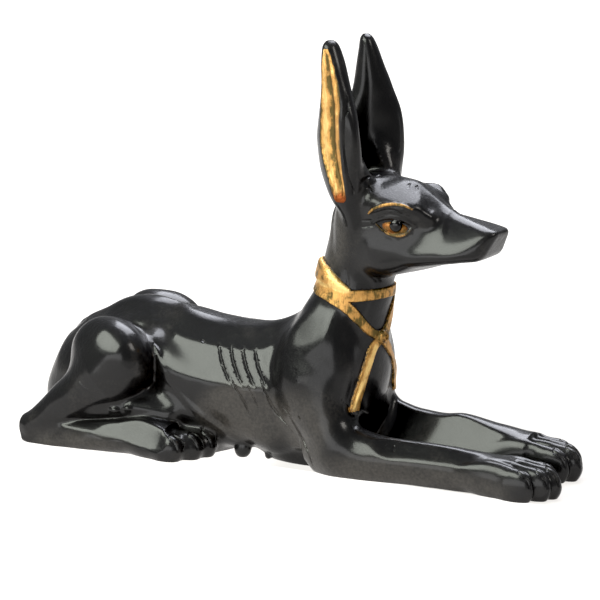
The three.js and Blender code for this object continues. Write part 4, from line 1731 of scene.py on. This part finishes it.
class Shader:
    """A material that is put together node by node."""

    MIX_FACTOR = 0  # the sockets of a Mix node that mixes colours, which share their names with others
    MIX_FIRST = 6
    MIX_SECOND = 7
    MIX_RESULT = 2

    def __init__(self, name: str) -> None:
        """Start a material with nothing in it."""
        self.material = bpy.data.materials.new(name)
        self.material.use_nodes = True
        self.tree = self.material.node_tree
        self.tree.nodes.clear()

    def node(
        self, kind: str, settings: dict, inputs: dict[str | int, Value], output: str | int = 0
    ) -> Signal:
        """Add a node.

        Args:
            kind: Its type.
            settings: Its properties.
            inputs: What each of its sockets takes, by name or number.
            output: The socket that is wanted from it.

        Returns:
            What comes out of that socket.
        """
        node = self.tree.nodes.new(kind)
        for name, value in settings.items():
            setattr(node, name, value)
        for name, value in inputs.items():
            if isinstance(value, Signal):
                self.tree.links.new(value.socket, node.inputs[name])
            else:
                node.inputs[name].default_value = value
        return Signal(self, node.outputs[output])

    def math(self, operation: str, *values: Value) -> Signal:
        """Reckon with numbers."""
        return self.node("ShaderNodeMath", {"operation": operation}, dict(enumerate(values)))

    def mix(self, factor: Value, a: Value, b: Value) -> Signal:
        """Mix two colours.

        Args:
            factor: The second one's share.
            a: The first colour.
            b: The second colour.

        Returns:
            The mixed colour.
        """
        inputs = {self.MIX_FACTOR: factor, self.MIX_FIRST: a, self.MIX_SECOND: b}
        return self.node("ShaderNodeMix", {"data_type": "RGBA"}, inputs, self.MIX_RESULT)

    def attribute(self, name: str) -> Signal:
        """Read a number that the mesh carries at its points."""
        return self.node("ShaderNodeAttribute", {"attribute_name": name}, {}, "Fac")

    @cached_property
    def place(self) -> Signal:
        """Return the place on the figure, in hundredths."""
        metres = self.node("ShaderNodeTexCoord", {}, {}, "Object")
        inputs = {0: metres, "Scale": 1 / HUNDREDTH}
        return self.node("ShaderNodeVectorMath", {"operation": "SCALE"}, inputs)

    def along(self, way: Triple) -> Signal:
        """Measure how far the place lies along a direction, in hundredths."""
        inputs = {0: self.place, 1: way}
        return self.node("ShaderNodeVectorMath", {"operation": "DOT_PRODUCT"}, inputs, "Value")

    def noise(self, kind: Noise) -> Signal:
        """Make noise.

        Args:
            kind: What it is like.

        Returns:
            A number round 0.5.
        """
        scale = tuple(1 / (kind.size * each) for each in kind.stretch)
        place = self.node("ShaderNodeVectorMath", {"operation": "MULTIPLY"}, {0: self.place, 1: scale})
        inputs = {"Vector": place, "Scale": 1.0, "Detail": kind.detail, "Roughness": kind.rough}
        return self.node("ShaderNodeTexNoise", {}, inputs, "Fac")

    def specks(self, size: float) -> Signal:
        """Return the distance to the nearest of scattered points, in spot sizes."""
        inputs = {"Vector": self.place, "Scale": 1 / size}
        return self.node("ShaderNodeTexVoronoi", {}, inputs, "Distance")

    def finish(self, inputs: dict[str, Value]) -> bpy.types.Material:
        """End the material in one principled shader with the given inputs."""
        surface = self.node("ShaderNodeBsdfPrincipled", {}, inputs)
        output = self.tree.nodes.new("ShaderNodeOutputMaterial")
        self.tree.links.new(surface.socket, output.inputs["Surface"])
        return self.material


@dataclass(frozen=True)
class BlackPaint:
    """Semi-gloss black paint on resin.

    Attributes:
        colour: The fresh paint.
        dust_and_sheen: Brownish dirt and rubbed paint, which on the low sides also stands in for a
            painted
        sheen of the bright floor.
        gloss: Its roughness where it is clean.
        dull: Its roughness where it is dusty.
        specular: How strongly it reflects below its skin.
        varnish: How much of a glossy skin lies on it.
        rubbed_varnish: How much is left of that where hands have rubbed it.
        varnish_roughness: How matt that skin is.
        clouds: The patches in which it is dusty, dull or rubbed.
        grain: The fine grain of all this.
        dust_clouds: From where to where the clouds bring dust.
        dust_grain: From where to where the grain does.
        dust_shares: What clouds, hollows and edges add to the dust.
        low_dust_sheen_limits: From where to where clouds and grain bring dirt and painted floor sheen to
            low places.
        low_dust_sheen_shares: What they add there, and how much lies there anyway.
        dull_clouds: From where to where the clouds dull it.
        dull_shares: What clouds, hollows and grain add to that.
        rub_clouds: From where to where the clouds rub it.
        rub_shares: What hands, clouds, hollows and grain add to that.
        waves: The unevenness of its surface.
        brushing: The lines of the brush.
        scuffing: Its fine scuffs.
        pit_size: How far its pits lie apart, in hundredths.
        pit_edge: The edge of a pit, in shares of that.
        pit_patches: Where pits gather.
        pit_clouds: From where to where these patches have pits.
        wave_height: How high the unevenness is, in hundredths.
        brush_height: How high the lines are.
        grain_height: How high the grain is.
        pit_depth: How deep the pits are.
        scuff_depth: How deep the scuffs are.
    """

    colour: Colour = (0.0052, 0.0050, 0.0053, 1)
    # Brownish: dirt and rubbed paint, and on the low sides facing the floor also a painted sheen of the
    # bright floor.
    dust_and_sheen: Colour = (0.042, 0.038, 0.034, 1)
    gloss: float = 0.36
    dull: float = 0.5
    specular: float = 0.08
    varnish: float = 0.5
    rubbed_varnish: float = 0.36
    varnish_roughness: float = 0.18
    clouds: Noise = Noise(6.0, 4, 0.55)
    grain: Noise = Noise(0.5, 3, 0.6)
    dust_clouds: Limits = (0.5, 0.75)
    dust_grain: Limits = (0.3, 0.65)
    dust_shares: Triple = (0.35, 0.1, 0.15)
    low_dust_sheen_limits: Limits = (0.3, 0.7)
    low_dust_sheen_shares: Triple = (0.4, 0.4, 0.2)
    dull_clouds: Limits = (0.35, 0.7)
    dull_shares: Triple = (0.5, 0.6, 0.4)
    rub_clouds: Limits = (0.45, 0.7)
    rub_shares: tuple[float, float, float, float] = (0.9, 0.25, 0.5, 0.3)
    waves: Noise = Noise(1.4, 3, 0.5)
    brushing: Noise = Noise(0.16, 2, 0.5, (6, 1, 1))
    scuffing: Noise = Noise(0.22, 2, 0.5, (2, 1, 1))
    pit_size: float = 1.6
    pit_edge: Limits = (0.09, 0.03)
    pit_patches: Noise = Noise(3.0, 1)
    pit_clouds: Limits = (0.5, 0.6)
    wave_height: float = 0.11
    brush_height: float = 0.018
    grain_height: float = 0.03
    pit_depth: float = 0.07
    scuff_depth: float = 0.12


@dataclass(frozen=True)
class GoldPaint:
    """Gold paint laid on with a brush.

    Attributes:
        deep: Its colour where it lies thick.
        pale: Its colour where its tone is high: a painted highlight on the sash's raised folds and the
            ears'
        swells, and lighter patches.
        olive: Its colour where its tone is low: where it is thin over black, and a painted shade in the
            groove
        down the ears' lining.
        stain: The red-brown of its stained ends.
        roughness: How matt it is.
        streak_roughness: What its streaks add to that.
        metal: How metallic it is.
        edging: What makes its edges uneven.
        ragged: How uneven, in hundredths.
        fine_ragged: The share of that on its fine lines.
        edge: From where to where it begins.
        streaks: The streaks of the brush.
        patches: The patches in which it is lighter or darker.
        patch_tone: What these add to its tone.
        patch_middle: What counts as neither lighter nor darker.
        streak_tone: What the streaks add to its tone.
        thick: From which tone to which it gets thick.
        light: From which tone to which it gets pale.
        stain_patches: What makes the stains uneven.
        stain_spread: How uneven they are.
        stained: From where to where they begin.
        height: How thick it lies, in hundredths.
        streak_height: How high the streaks are.
    """

    deep: Colour = (0.50, 0.27, 0.085, 1)
    pale: Colour = (0.80, 0.55, 0.21, 1)
    olive: Colour = (0.11, 0.08, 0.03, 1)
    stain: Colour = (0.17, 0.045, 0.014, 1)
    roughness: float = 0.42
    streak_roughness: float = 0.25
    metal: float = 0.8
    edging: Noise = Noise(1.3, 3, 0.65)
    ragged: float = 0.3
    fine_ragged: float = 0.4
    edge: Limits = (0.05, -0.05)
    streaks: Noise = Noise(0.35, 3, 0.7, (1, 1, 7))
    patches: Noise = Noise(2.0, 4, 0.6)
    patch_tone: float = 1.7
    patch_middle: float = 0.55
    streak_tone: float = 0.9
    thick: Limits = (0.12, 0.5)
    light: Limits = (0.55, 1.05)
    stain_patches: Noise = Noise(1.0, 3, 0.6)
    stain_spread: float = 0.8
    stained: Limits = (0.35, 0.9)
    height: float = 0.05
    streak_height: float = 0.08


@dataclass(frozen=True)
class EyeGloss:
    """The glossy black ball of the eye.

    Attributes:
        colour: Its colour.
        roughness: How matt it is.
        edge: From where to where it begins.
    """

    colour: Colour = (0.002, 0.002, 0.002, 1)
    roughness: float = 0.04
    edge: Limits = (0.07, 0.03)


@dataclass(frozen=True)
class Paintwork:
    """All the paint on the figure, mixed in one shader by the marks on the skin.

    Attributes:
        shader: What it is mixed in.
        black: The black paint.
        gold: The gold paint.
        eye: The paint of the eye's ball.
    """

    shader: Shader
    black: BlackPaint = BlackPaint()
    gold: GoldPaint = GoldPaint()
    eye: EyeGloss = EyeGloss()

    @cached_property
    def clouds(self) -> Signal:
        """Return the patches in the black paint."""
        return self.shader.noise(self.black.clouds)

    @cached_property
    def grain(self) -> Signal:
        """Return its grain."""
        return self.shader.noise(self.black.grain)

    @cached_property
    def streaks(self) -> Signal:
        """Return the streaks in the gold paint."""
        return self.shader.noise(self.gold.streaks)

    @cached_property
    def hollow(self) -> Signal:
        """Return how hollow the skin is."""
        return self.shader.attribute("hollow")

    @cached_property
    def pupil(self) -> Signal:
        """Return 1 on the ball of the eye."""
        return self.shader.attribute("pupil").ramp(*self.eye.edge)

    @cached_property
    def gilt(self) -> Signal:
        """Return 1 where gold paint lies, with a ragged edge."""
        mark = self.shader.attribute
        ragged = (self.shader.noise(self.gold.edging) - MIDDLING) * self.gold.ragged
        broad = mark("cloth").least(mark("lining")) + ragged
        fine = mark("brow").least(mark("eye_gold")) + ragged * self.gold.fine_ragged
        return broad.least(fine).ramp(*self.gold.edge)

    @cached_property
    def rub(self) -> Signal:
        """Return how much the black paint is rubbed."""
        hands, clouds, hollows, grain = self.black.rub_shares
        rub = self.shader.attribute("rubbed") * hands + self.clouds.ramp(*self.black.rub_clouds) * clouds
        rub = rub + self.hollow * hollows + (self.grain - MIDDLING) * grain
        return rub.most(0.0).least(1.0)

    def dust_and_sheen(self) -> Signal:
        """Work out how much brownish dirt and painted floor sheen lie on the black paint.

        Returns:
            A share of the brownish colour.
        """
        paint = self.black
        clouds, hollows, edges = paint.dust_shares
        dust_and_sheen = self.clouds.ramp(*paint.dust_clouds) * clouds + self.hollow * hollows
        dust_and_sheen = (dust_and_sheen + self.shader.attribute("edge") * edges) * self.grain.ramp(*paint.dust_grain)
        # The low sides facing the floor get the brownish colour as dirt together with a painted sheen of
        # the bright floor.
        clouds, grain, always = paint.low_dust_sheen_shares
        low = self.clouds.ramp(*paint.low_dust_sheen_limits) * clouds + self.grain.ramp(*paint.low_dust_sheen_limits) * grain
        return dust_and_sheen.most(self.shader.attribute("dust_and_sheen") * (low + always))

    def leaf(self) -> Signal:
        """Work out the gold's colour.

        Returns:
            The colour, from olive where it is thin and as painted shade in the ears' groove, to pale as
            painted highlight on raised folds and swells, with its stained ends.
        """
        paint = self.gold
        mark = self.shader.attribute
        patches = (self.shader.noise(paint.patches) - paint.patch_middle) * paint.patch_tone
        tone = mark("tone") + patches + (self.streaks - MIDDLING) * paint.streak_tone
        leaf = self.shader.mix(tone.ramp(*paint.thick), paint.olive, paint.deep)
        leaf = self.shader.mix(tone.ramp(*paint.light), leaf, paint.pale)
        spread = (self.shader.noise(paint.stain_patches) - MIDDLING) * paint.stain_spread
        stained = (mark("stain") + spread).ramp(*paint.stained)
        return self.shader.mix(stained, leaf, paint.stain)

    def roughness(self) -> Signal:
        """Work out how matt the paint is.

        Returns:
            The roughness.
        """
        clouds, hollows, grain = self.black.dull_shares
        dull = self.clouds.ramp(*self.black.dull_clouds) * clouds + self.hollow * hollows
        dull = (dull + (self.grain - MIDDLING) * grain).most(0.0).least(1.0)
        roughness = self.black.gloss + dull * (self.black.dull - self.black.gloss)
        gold = self.gold.roughness + (self.streaks - MIDDLING) * self.gold.streak_roughness
        roughness = roughness + self.gilt * (gold - roughness)
        return roughness + self.pupil * (self.eye.roughness - roughness)

    def height(self) -> Signal:
        """Work out the paint's fine relief.

        Returns:
            Heights in hundredths.
        """
        paint = self.black
        noise = self.shader.noise
        pits = self.shader.specks(paint.pit_size).ramp(*paint.pit_edge)
        pits = pits * noise(paint.pit_patches).ramp(*paint.pit_clouds)
        height = noise(paint.waves) * paint.wave_height + noise(paint.brushing) * paint.brush_height
        height = height + self.grain * paint.grain_height - pits * paint.pit_depth
        height = height + noise(paint.scuffing) * self.rub * paint.scuff_depth
        height = height + self.gilt * (self.gold.height + self.streaks * self.gold.streak_height)
        return height * (1.0 - self.pupil)

    def material(self) -> bpy.types.Material:
        """Mix the paint.

        Returns:
            The material of the whole figure.
        """
        mix = self.shader.mix
        # The black paint's brownish lift is dirt, and on the low sides also a painted floor sheen; the
        # gold's tone holds painted highlights and shade.
        colour = mix(self.gilt, mix(self.dust_and_sheen(), self.black.colour, self.black.dust_and_sheen), self.leaf())
        varnish = self.black.varnish + self.rub * (self.black.rubbed_varnish - self.black.varnish)
        bump = {"Strength": 1.0, "Distance": HUNDREDTH, "Height": self.height()}
        inputs = {
            "Base Color": mix(self.pupil, colour, self.eye.colour),
            "Roughness": self.roughness(),
            "Metallic": self.gilt * (1.0 - self.pupil) * self.gold.metal,
            "Specular IOR Level": self.black.specular,
            "Coat Weight": (1.0 - self.gilt) * varnish,
            "Coat Roughness": self.black.varnish_roughness,
            "Normal": self.shader.node("ShaderNodeBump", {}, bump),
        }
        return self.shader.finish(inputs)


@dataclass(frozen=True)
class Marker:
    """Marks the skin with what the paint follows.

    Attributes:
        figure: The shape that is painted.
        rubbed: Where hands have rubbed it.
        rubbed_edge: How far outside that it begins and how far inside it is full.
        dust_and_floor_sheen: Where its low and sheltered sides are lighter and browner: dirt together
            with a painted sheen of the bright floor.
        dust_and_floor_sheen_edge: The same for that.
        feel: How far off the skin its hollows and edges are felt.
        eyeball_gold: How far round the eyeball's almond gold paint reaches.
        lid_gold: How far round the lower lid.
        brow_gold: How far round the brow line.
        cloth_gold: How far round the sash.
        cloth_above: The height at which the straps' paint ends.
        ear_tone: The tone of the ears' lining, so low that its middle groove takes olive as a painted
            shade.
        ear_highlights: Where across the lining it is paler, a painted highlight on its two swells.
        ear_stain: From which share of its height down to which it is stained.
        ear_near: How far round its lining the ear counts.
        eye_tone: The tone of the gold round the eye.
        eye_near: How far round the almond the eye counts.
        eye_stain: How much that gold is stained.
        eye_stain_edge: From how far round the almond to where.
        cloth_tone: The tone of the sash.
        ridge_highlight: How much paler its raised folds are, a painted highlight.
        strap_highlight: Where across the strap's ridge that highlight lies.
        nape_highlight: Where across the nape's fold it lies.
    """

    figure: Figure
    rubbed: Form = Cluster(
        [Lump((53.5, -9, 19), (6.5, 5, 9)), Lump((57, -5, 39), (6, 7, 7)), Lump((70, -3, 48), (6, 7, 3))],
        seam=1.0,
    )
    rubbed_edge: Limits = (2.0, -2.0)
    # Low sides made lighter and browner: dirt together with a painted sheen of the bright floor.
    dust_and_floor_sheen: Form = Cluster([
        Lump((43, -10, 8), (9, 3, 5)),
        Lump((55, -10.5, 7), (5, 3, 7)),
        Lump((74, -11, 1.6), (18, 2.4, 2.2)),
        Lump((14, -16.5, 1.0), (9, 2, 1.4)),
        Lump((57, -5.5, 40), (3.5, 3, 6)),
    ], seam=1.0)
    dust_and_floor_sheen_edge: Limits = (2.0, -1.0)
    feel: float = 0.9
    eyeball_gold: float = 0.08
    lid_gold: float = 0.02
    brow_gold: float = 0.03
    cloth_gold: float = 0.02
    cloth_above: float = 10.6
    ear_tone: float = 0.15
    ear_highlights: tuple[Hill, Hill] = (Hill(-0.6, 0.5, 0.95), Hill(0.6, 0.45, 0.55))
    ear_stain: Limits = (0.16, 0.02)
    ear_near: float = 0.3
    eye_tone: float = 0.35
    eye_near: float = 0.4
    eye_stain: float = 0.6
    eye_stain_edge: Limits = (0.3, 0.1)
    cloth_tone: float = 0.45
    ridge_highlight: float = 0.6
    strap_highlight: Hill = Hill(0.0, 0.5)
    nape_highlight: Hill = Hill(-0.1, 0.6)

    def gold(self, points: Array) -> dict[str, Array]:
        """Mark the gold paint.

        Args:
            points: Points on the smooth skin, one row each.

        Returns:
            Numbers by name: distances to the edges of what is painted, negative inside, tone with its
                painted
            highlights and shade, and stain.
        """
        q = mirrored(points)
        head = self.figure.head
        sash = self.figure.sash
        ball = head.face.eyeball.distance(q)
        eye = np.minimum(ball - self.eyeball_gold, head.lower_lid.distance(q) - self.lid_gold)
        at = self.figure.ear.place(q)
        lining = self.figure.ear.lining_distance(q)
        in_ear = lining < self.ear_near
        # The lining is paler on its two swells, a painted highlight, and olive in the groove between
        # them, a painted shade.
        rear_swell, front_swell = self.ear_highlights
        ear_tone = self.ear_tone + (rear_swell.at(at.share) + front_swell.at(at.share))
        cloth = sash.cloth_distance(points) - self.cloth_gold
        # The strap's ridge and the nape's fold are paler, a painted highlight.
        ridge_highlights = self.strap_highlight.at(sash.strap_ridge.distance(points))
        ridge_highlights = ridge_highlights + self.nape_highlight.at(sash.nape_fold.distance(q))
        cloth_tone = self.cloth_tone + self.ridge_highlight * ridge_highlights
        eye_stain = self.eye_stain * fade_in(ball, *self.eye_stain_edge)
        return {
            "lining": lining,
            "cloth": np.where(points[:, 2] > self.cloth_above, cloth, FAR),
            "brow": head.brow_line.distance(q) - self.brow_gold,
            "eye_gold": eye,
            "pupil": head.iris.distance(q),
            "tone": np.where(in_ear, ear_tone, np.where(ball < self.eye_near, self.eye_tone, cloth_tone)),
            "stain": np.where(in_ear, fade_in(at.rise, *self.ear_stain), eye_stain),
        }

    def wear(self, points: Array, normals: Array) -> dict[str, Array]:
        """Mark the wear of the black paint, and the painted floor sheen on its low sides.

        Args:
            points: The skin's points, one row each.
            normals: The directions outwards there.

        Returns:
            One share a point by name.
        """
        q = mirrored(points)
        hollow = self.feel - self.figure.distance(points + self.feel * normals)
        edge = self.feel + self.figure.distance(points - self.feel * normals)
        return {
            "rubbed": fade_in(self.rubbed.distance(q), *self.rubbed_edge),
            # Dirt and painted floor sheen on the low sides.
            "dust_and_sheen": fade_in(self.dust_and_floor_sheen.distance(q), *self.dust_and_floor_sheen_edge),
            "hollow": np.clip(hollow / self.feel, 0.0, 1.0),
            "edge": np.clip(edge / self.feel, 0.0, 1.0),
        }

    def marks(self, points: Array, normals: Array) -> dict[str, Array]:
        """Work out all marks. The gold's follow the skin as it is without its unevenness."""
        smooth = points - self.figure.hand.relief(points)[:, None] * normals
        return self.gold(smooth) | self.wear(points, normals)


@dataclass(frozen=True)
class Jackal:
    """The painted casting.

    Attributes:
        figure: Its shape.
        skinner: What draws its skin.
    """

    figure: Figure = Figure()
    skinner: Skinner = Skinner()

    def build(self) -> bpy.types.Object:
        """Build the figure.

        Returns:
            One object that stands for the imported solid.
        """
        skin = self.skinner.draw(self.figure)
        slope = self.skinner.normals(self.figure, skin.points)
        normals = slope / np.maximum(length(*slope.T), TINY)[:, None]
        mesh = bpy.data.meshes.new("jackal")
        mesh.from_pydata((skin.points - (ORIGIN_X, 0, 0)) * HUNDREDTH, [], skin.faces)
        mesh.shade_smooth()
        mesh.normals_split_custom_set_from_vertices(normals)
        for name, values in Marker(self.figure).marks(skin.points, normals).items():
            mark = mesh.attributes.new(name, "FLOAT", "POINT")
            mark.data.foreach_set("value", values.astype(np.float32))
        mesh.materials.append(Paintwork(Shader(RESIN_SLOT)).material())
        piece = bpy.data.objects.new("jackal", mesh)
        bpy.context.scene.collection.objects.link(piece)
        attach(piece, "root")
        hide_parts(FIGURE_NODE)
        log.info("jackal: %d points, %d triangles", len(mesh.vertices), len(mesh.polygons))
        return piece


# The studio


def aim(thing: bpy.types.Object, target: Vector) -> None:
    """Point a light or camera at a target."""
    thing.rotation_euler = (target - thing.location).to_track_quat("-Z", "Y").to_euler()


@dataclass(frozen=True)
class Softbox:
    """A soft lamp with an even face.

    Attributes:
        name: Its name.
        azimuth: Degrees round, as in towards.
        elevation: Degrees above the ground.
        distance: How far from the figure it is.
        width: The width of its face.
        height: The height of its face.
        radiance: How bright its face is, where 1 is white.
        colour: Its colour.
    """

    name: str
    azimuth: float
    elevation: float
    distance: float
    width: float
    height: float
    radiance: float
    colour: Triple = (1.0, 1.0, 1.0)

    def build(self, target: Vector) -> None:
        """Hang the lamp.

        Args:
            target: What it is aimed at.
        """
        light = bpy.data.lights.new(self.name, "AREA")
        light.shape = "RECTANGLE"
        light.size = self.width
        light.size_y = self.height
        light.energy = self.radiance * math.pi * self.width * self.height
        light.color = self.colour
        lamp = bpy.data.objects.new(self.name, light)
        lamp.location = target + towards(self.azimuth, self.elevation) * self.distance
        aim(lamp, target)
        bpy.context.scene.collection.objects.link(lamp)
        log.info("lamp %s: %.1f W", self.name, light.energy)


@dataclass(frozen=True)
class Viewpoint:
    """The camera.

    Attributes:
        azimuth: Degrees round, as in towards.
        elevation: Degrees above the ground.
        distance: How far from its target it is.
        target: What it looks at.
        lens: Its focal length in millimetres.
        sensor: How wide its sensor is, in millimetres.
        clip: How near to it a thing may be to be seen.
    """

    azimuth: float = 30.0
    elevation: float = 11.2
    distance: float = 0.6
    target: Triple = (-0.00192, 0.0, 0.0324)
    lens: float = 176.52
    sensor: float = 36.0
    clip: float = 0.01

    def build(self) -> None:
        """Set the camera up and make it the scene's."""
        data = bpy.data.cameras.new("camera")
        data.lens = self.lens
        data.sensor_width = self.sensor
        data.clip_start = self.clip
        camera = bpy.data.objects.new("camera", data)
        target = Vector(self.target)
        camera.location = target + towards(self.azimuth, self.elevation) * self.distance
        aim(camera, target)
        bpy.context.scene.collection.objects.link(camera)
        bpy.context.scene.camera = camera
        log.info("camera: %.0f degrees round, %.1f up", self.azimuth, self.elevation)


@dataclass(frozen=True)
class Studio:
    """A white floor, soft lamps and a dim room.

    Attributes:
        floor_size: The floor's side.
        floor_tone: How light the floor is.
        floor_roughness: How matt it is.
        floor_glow: How much the floor shines by itself.
        bright_glow: How much it shines on its bright side, as if under a window.
        bright_way: The direction in which it gets brighter.
        bright_from: From where to where it does, in hundredths from the middle.
        strip_way: The direction in which a bright strip lies beside the figure: the floor glows there, a
            painted
        pool of light for the figure's low sides to reflect.
        strip_from: From where to where it starts.
        strip_to: From where to where it ends, told backwards.
        glow_tint: The colour of its shine.
        room: How bright the room is.
        room_tint: Its colour.
        dark: What shows as black.
        light: What shows as white.
        lamps: The lamps.
        viewpoint: The camera.
    """

    floor_size: float = 12.0
    floor_tone: float = 0.13
    floor_roughness: float = 0.9
    floor_glow: float = 0.66
    bright_glow: float = 6.5
    bright_way: Triple = (-0.99, -0.14, 0.0)
    bright_from: Limits = (0.0, 45.0)
    strip_way: Triple = (0.0, -1.0, 0.0)
    strip_from: Limits = (9.0, 14.0)
    strip_to: Limits = (36.0, 22.0)
    glow_tint: Colour = (1.0, 0.97, 0.94, 1)
    room: float = 0.24
    room_tint: Colour = (0.95, 0.97, 1.0, 1)
    dark: float = 0.006
    light: float = 0.82
    lamps: Sequence[Softbox] = (
        Softbox("window", -33, 40, 1.0, 0.9, 0.44, 8.6, (0.97, 1.02, 0.92)),
        Softbox("overhead", -170, 62, 1.0, 0.7, 0.8, 9.0, (0.94, 0.96, 1.04)),
        Softbox("right", 82, 40, 1.0, 0.26, 0.3, 7.0, (1.0, 0.96, 0.9)),
        Softbox("front", 112, 4, 1.0, 0.16, 0.14, 1.2),
        Softbox("wall", -4, 6, 1.4, 1.5, 0.6, 2.6),
    )
    viewpoint: Viewpoint = Viewpoint()

    def floor(self) -> None:
        """Lay the floor."""
        half = self.floor_size / 2
        corners = [(-half, -half, 0), (half, -half, 0), (half, half, 0), (-half, half, 0)]
        mesh = bpy.data.meshes.new("floor")
        mesh.from_pydata(corners, [], [(0, 1, 2, 3)])
        shader = Shader("floor")
        # A painted pool of light: the floor glows brighter towards the window side and brightest in a
        # strip beside the figure.
        beside = shader.along(self.strip_way)
        strip = beside.ramp(*self.strip_from) * beside.ramp(*self.strip_to)
        strip = strip * (self.bright_glow - self.floor_glow) + self.floor_glow
        glow = shader.along(self.bright_way).ramp(*self.bright_from, self.floor_glow, self.bright_glow)
        inputs = {
            "Base Color": (self.floor_tone,) * 3 + (1,),
            "Roughness": self.floor_roughness,
            "Specular IOR Level": 0.0,
            "Emission Color": shader.mix(glow.most(strip), (0, 0, 0, 1), self.glow_tint),
            "Emission Strength": 1.0,
        }
        mesh.materials.append(shader.finish(inputs))
        floor = bpy.data.objects.new("floor", mesh)
        bpy.context.scene.collection.objects.link(floor)
        floor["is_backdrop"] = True
        log.info("floor: %.0f m square", self.floor_size)

    def build(self) -> None:
        """Set up floor, lamps, room and camera."""
        self.floor()
        world = bpy.data.worlds.new("room")
        world.use_nodes = True
        background = world.node_tree.nodes["Background"]
        background.inputs["Color"].default_value = self.room_tint
        background.inputs["Strength"].default_value = self.room
        bpy.context.scene.world = world
        target = Vector(self.viewpoint.target)
        for lamp in self.lamps:
            lamp.build(target)
        self.viewpoint.build()
        view = bpy.context.scene.view_settings
        view.view_transform = "Standard"
        view.use_curve_mapping = True
        view.curve_mapping.black_level = (self.dark,) * 3
        view.curve_mapping.white_level = (self.light,) * 3
        view.curve_mapping.update()


def write_sizes() -> None:
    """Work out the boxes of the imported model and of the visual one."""
    boxes = {"cad": CAD_BOX, "visual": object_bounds()}
    plain = {name: [[float(each) for each in corner] for corner in box] for name, box in boxes.items()}


def main() -> None:
    """Build the figure, then the studio."""
    logging.basicConfig(level=logging.INFO, format="%(message)s")
    Jackal().build()
    Studio().build()
    write_sizes()


if __name__ == "__main__":
    main()
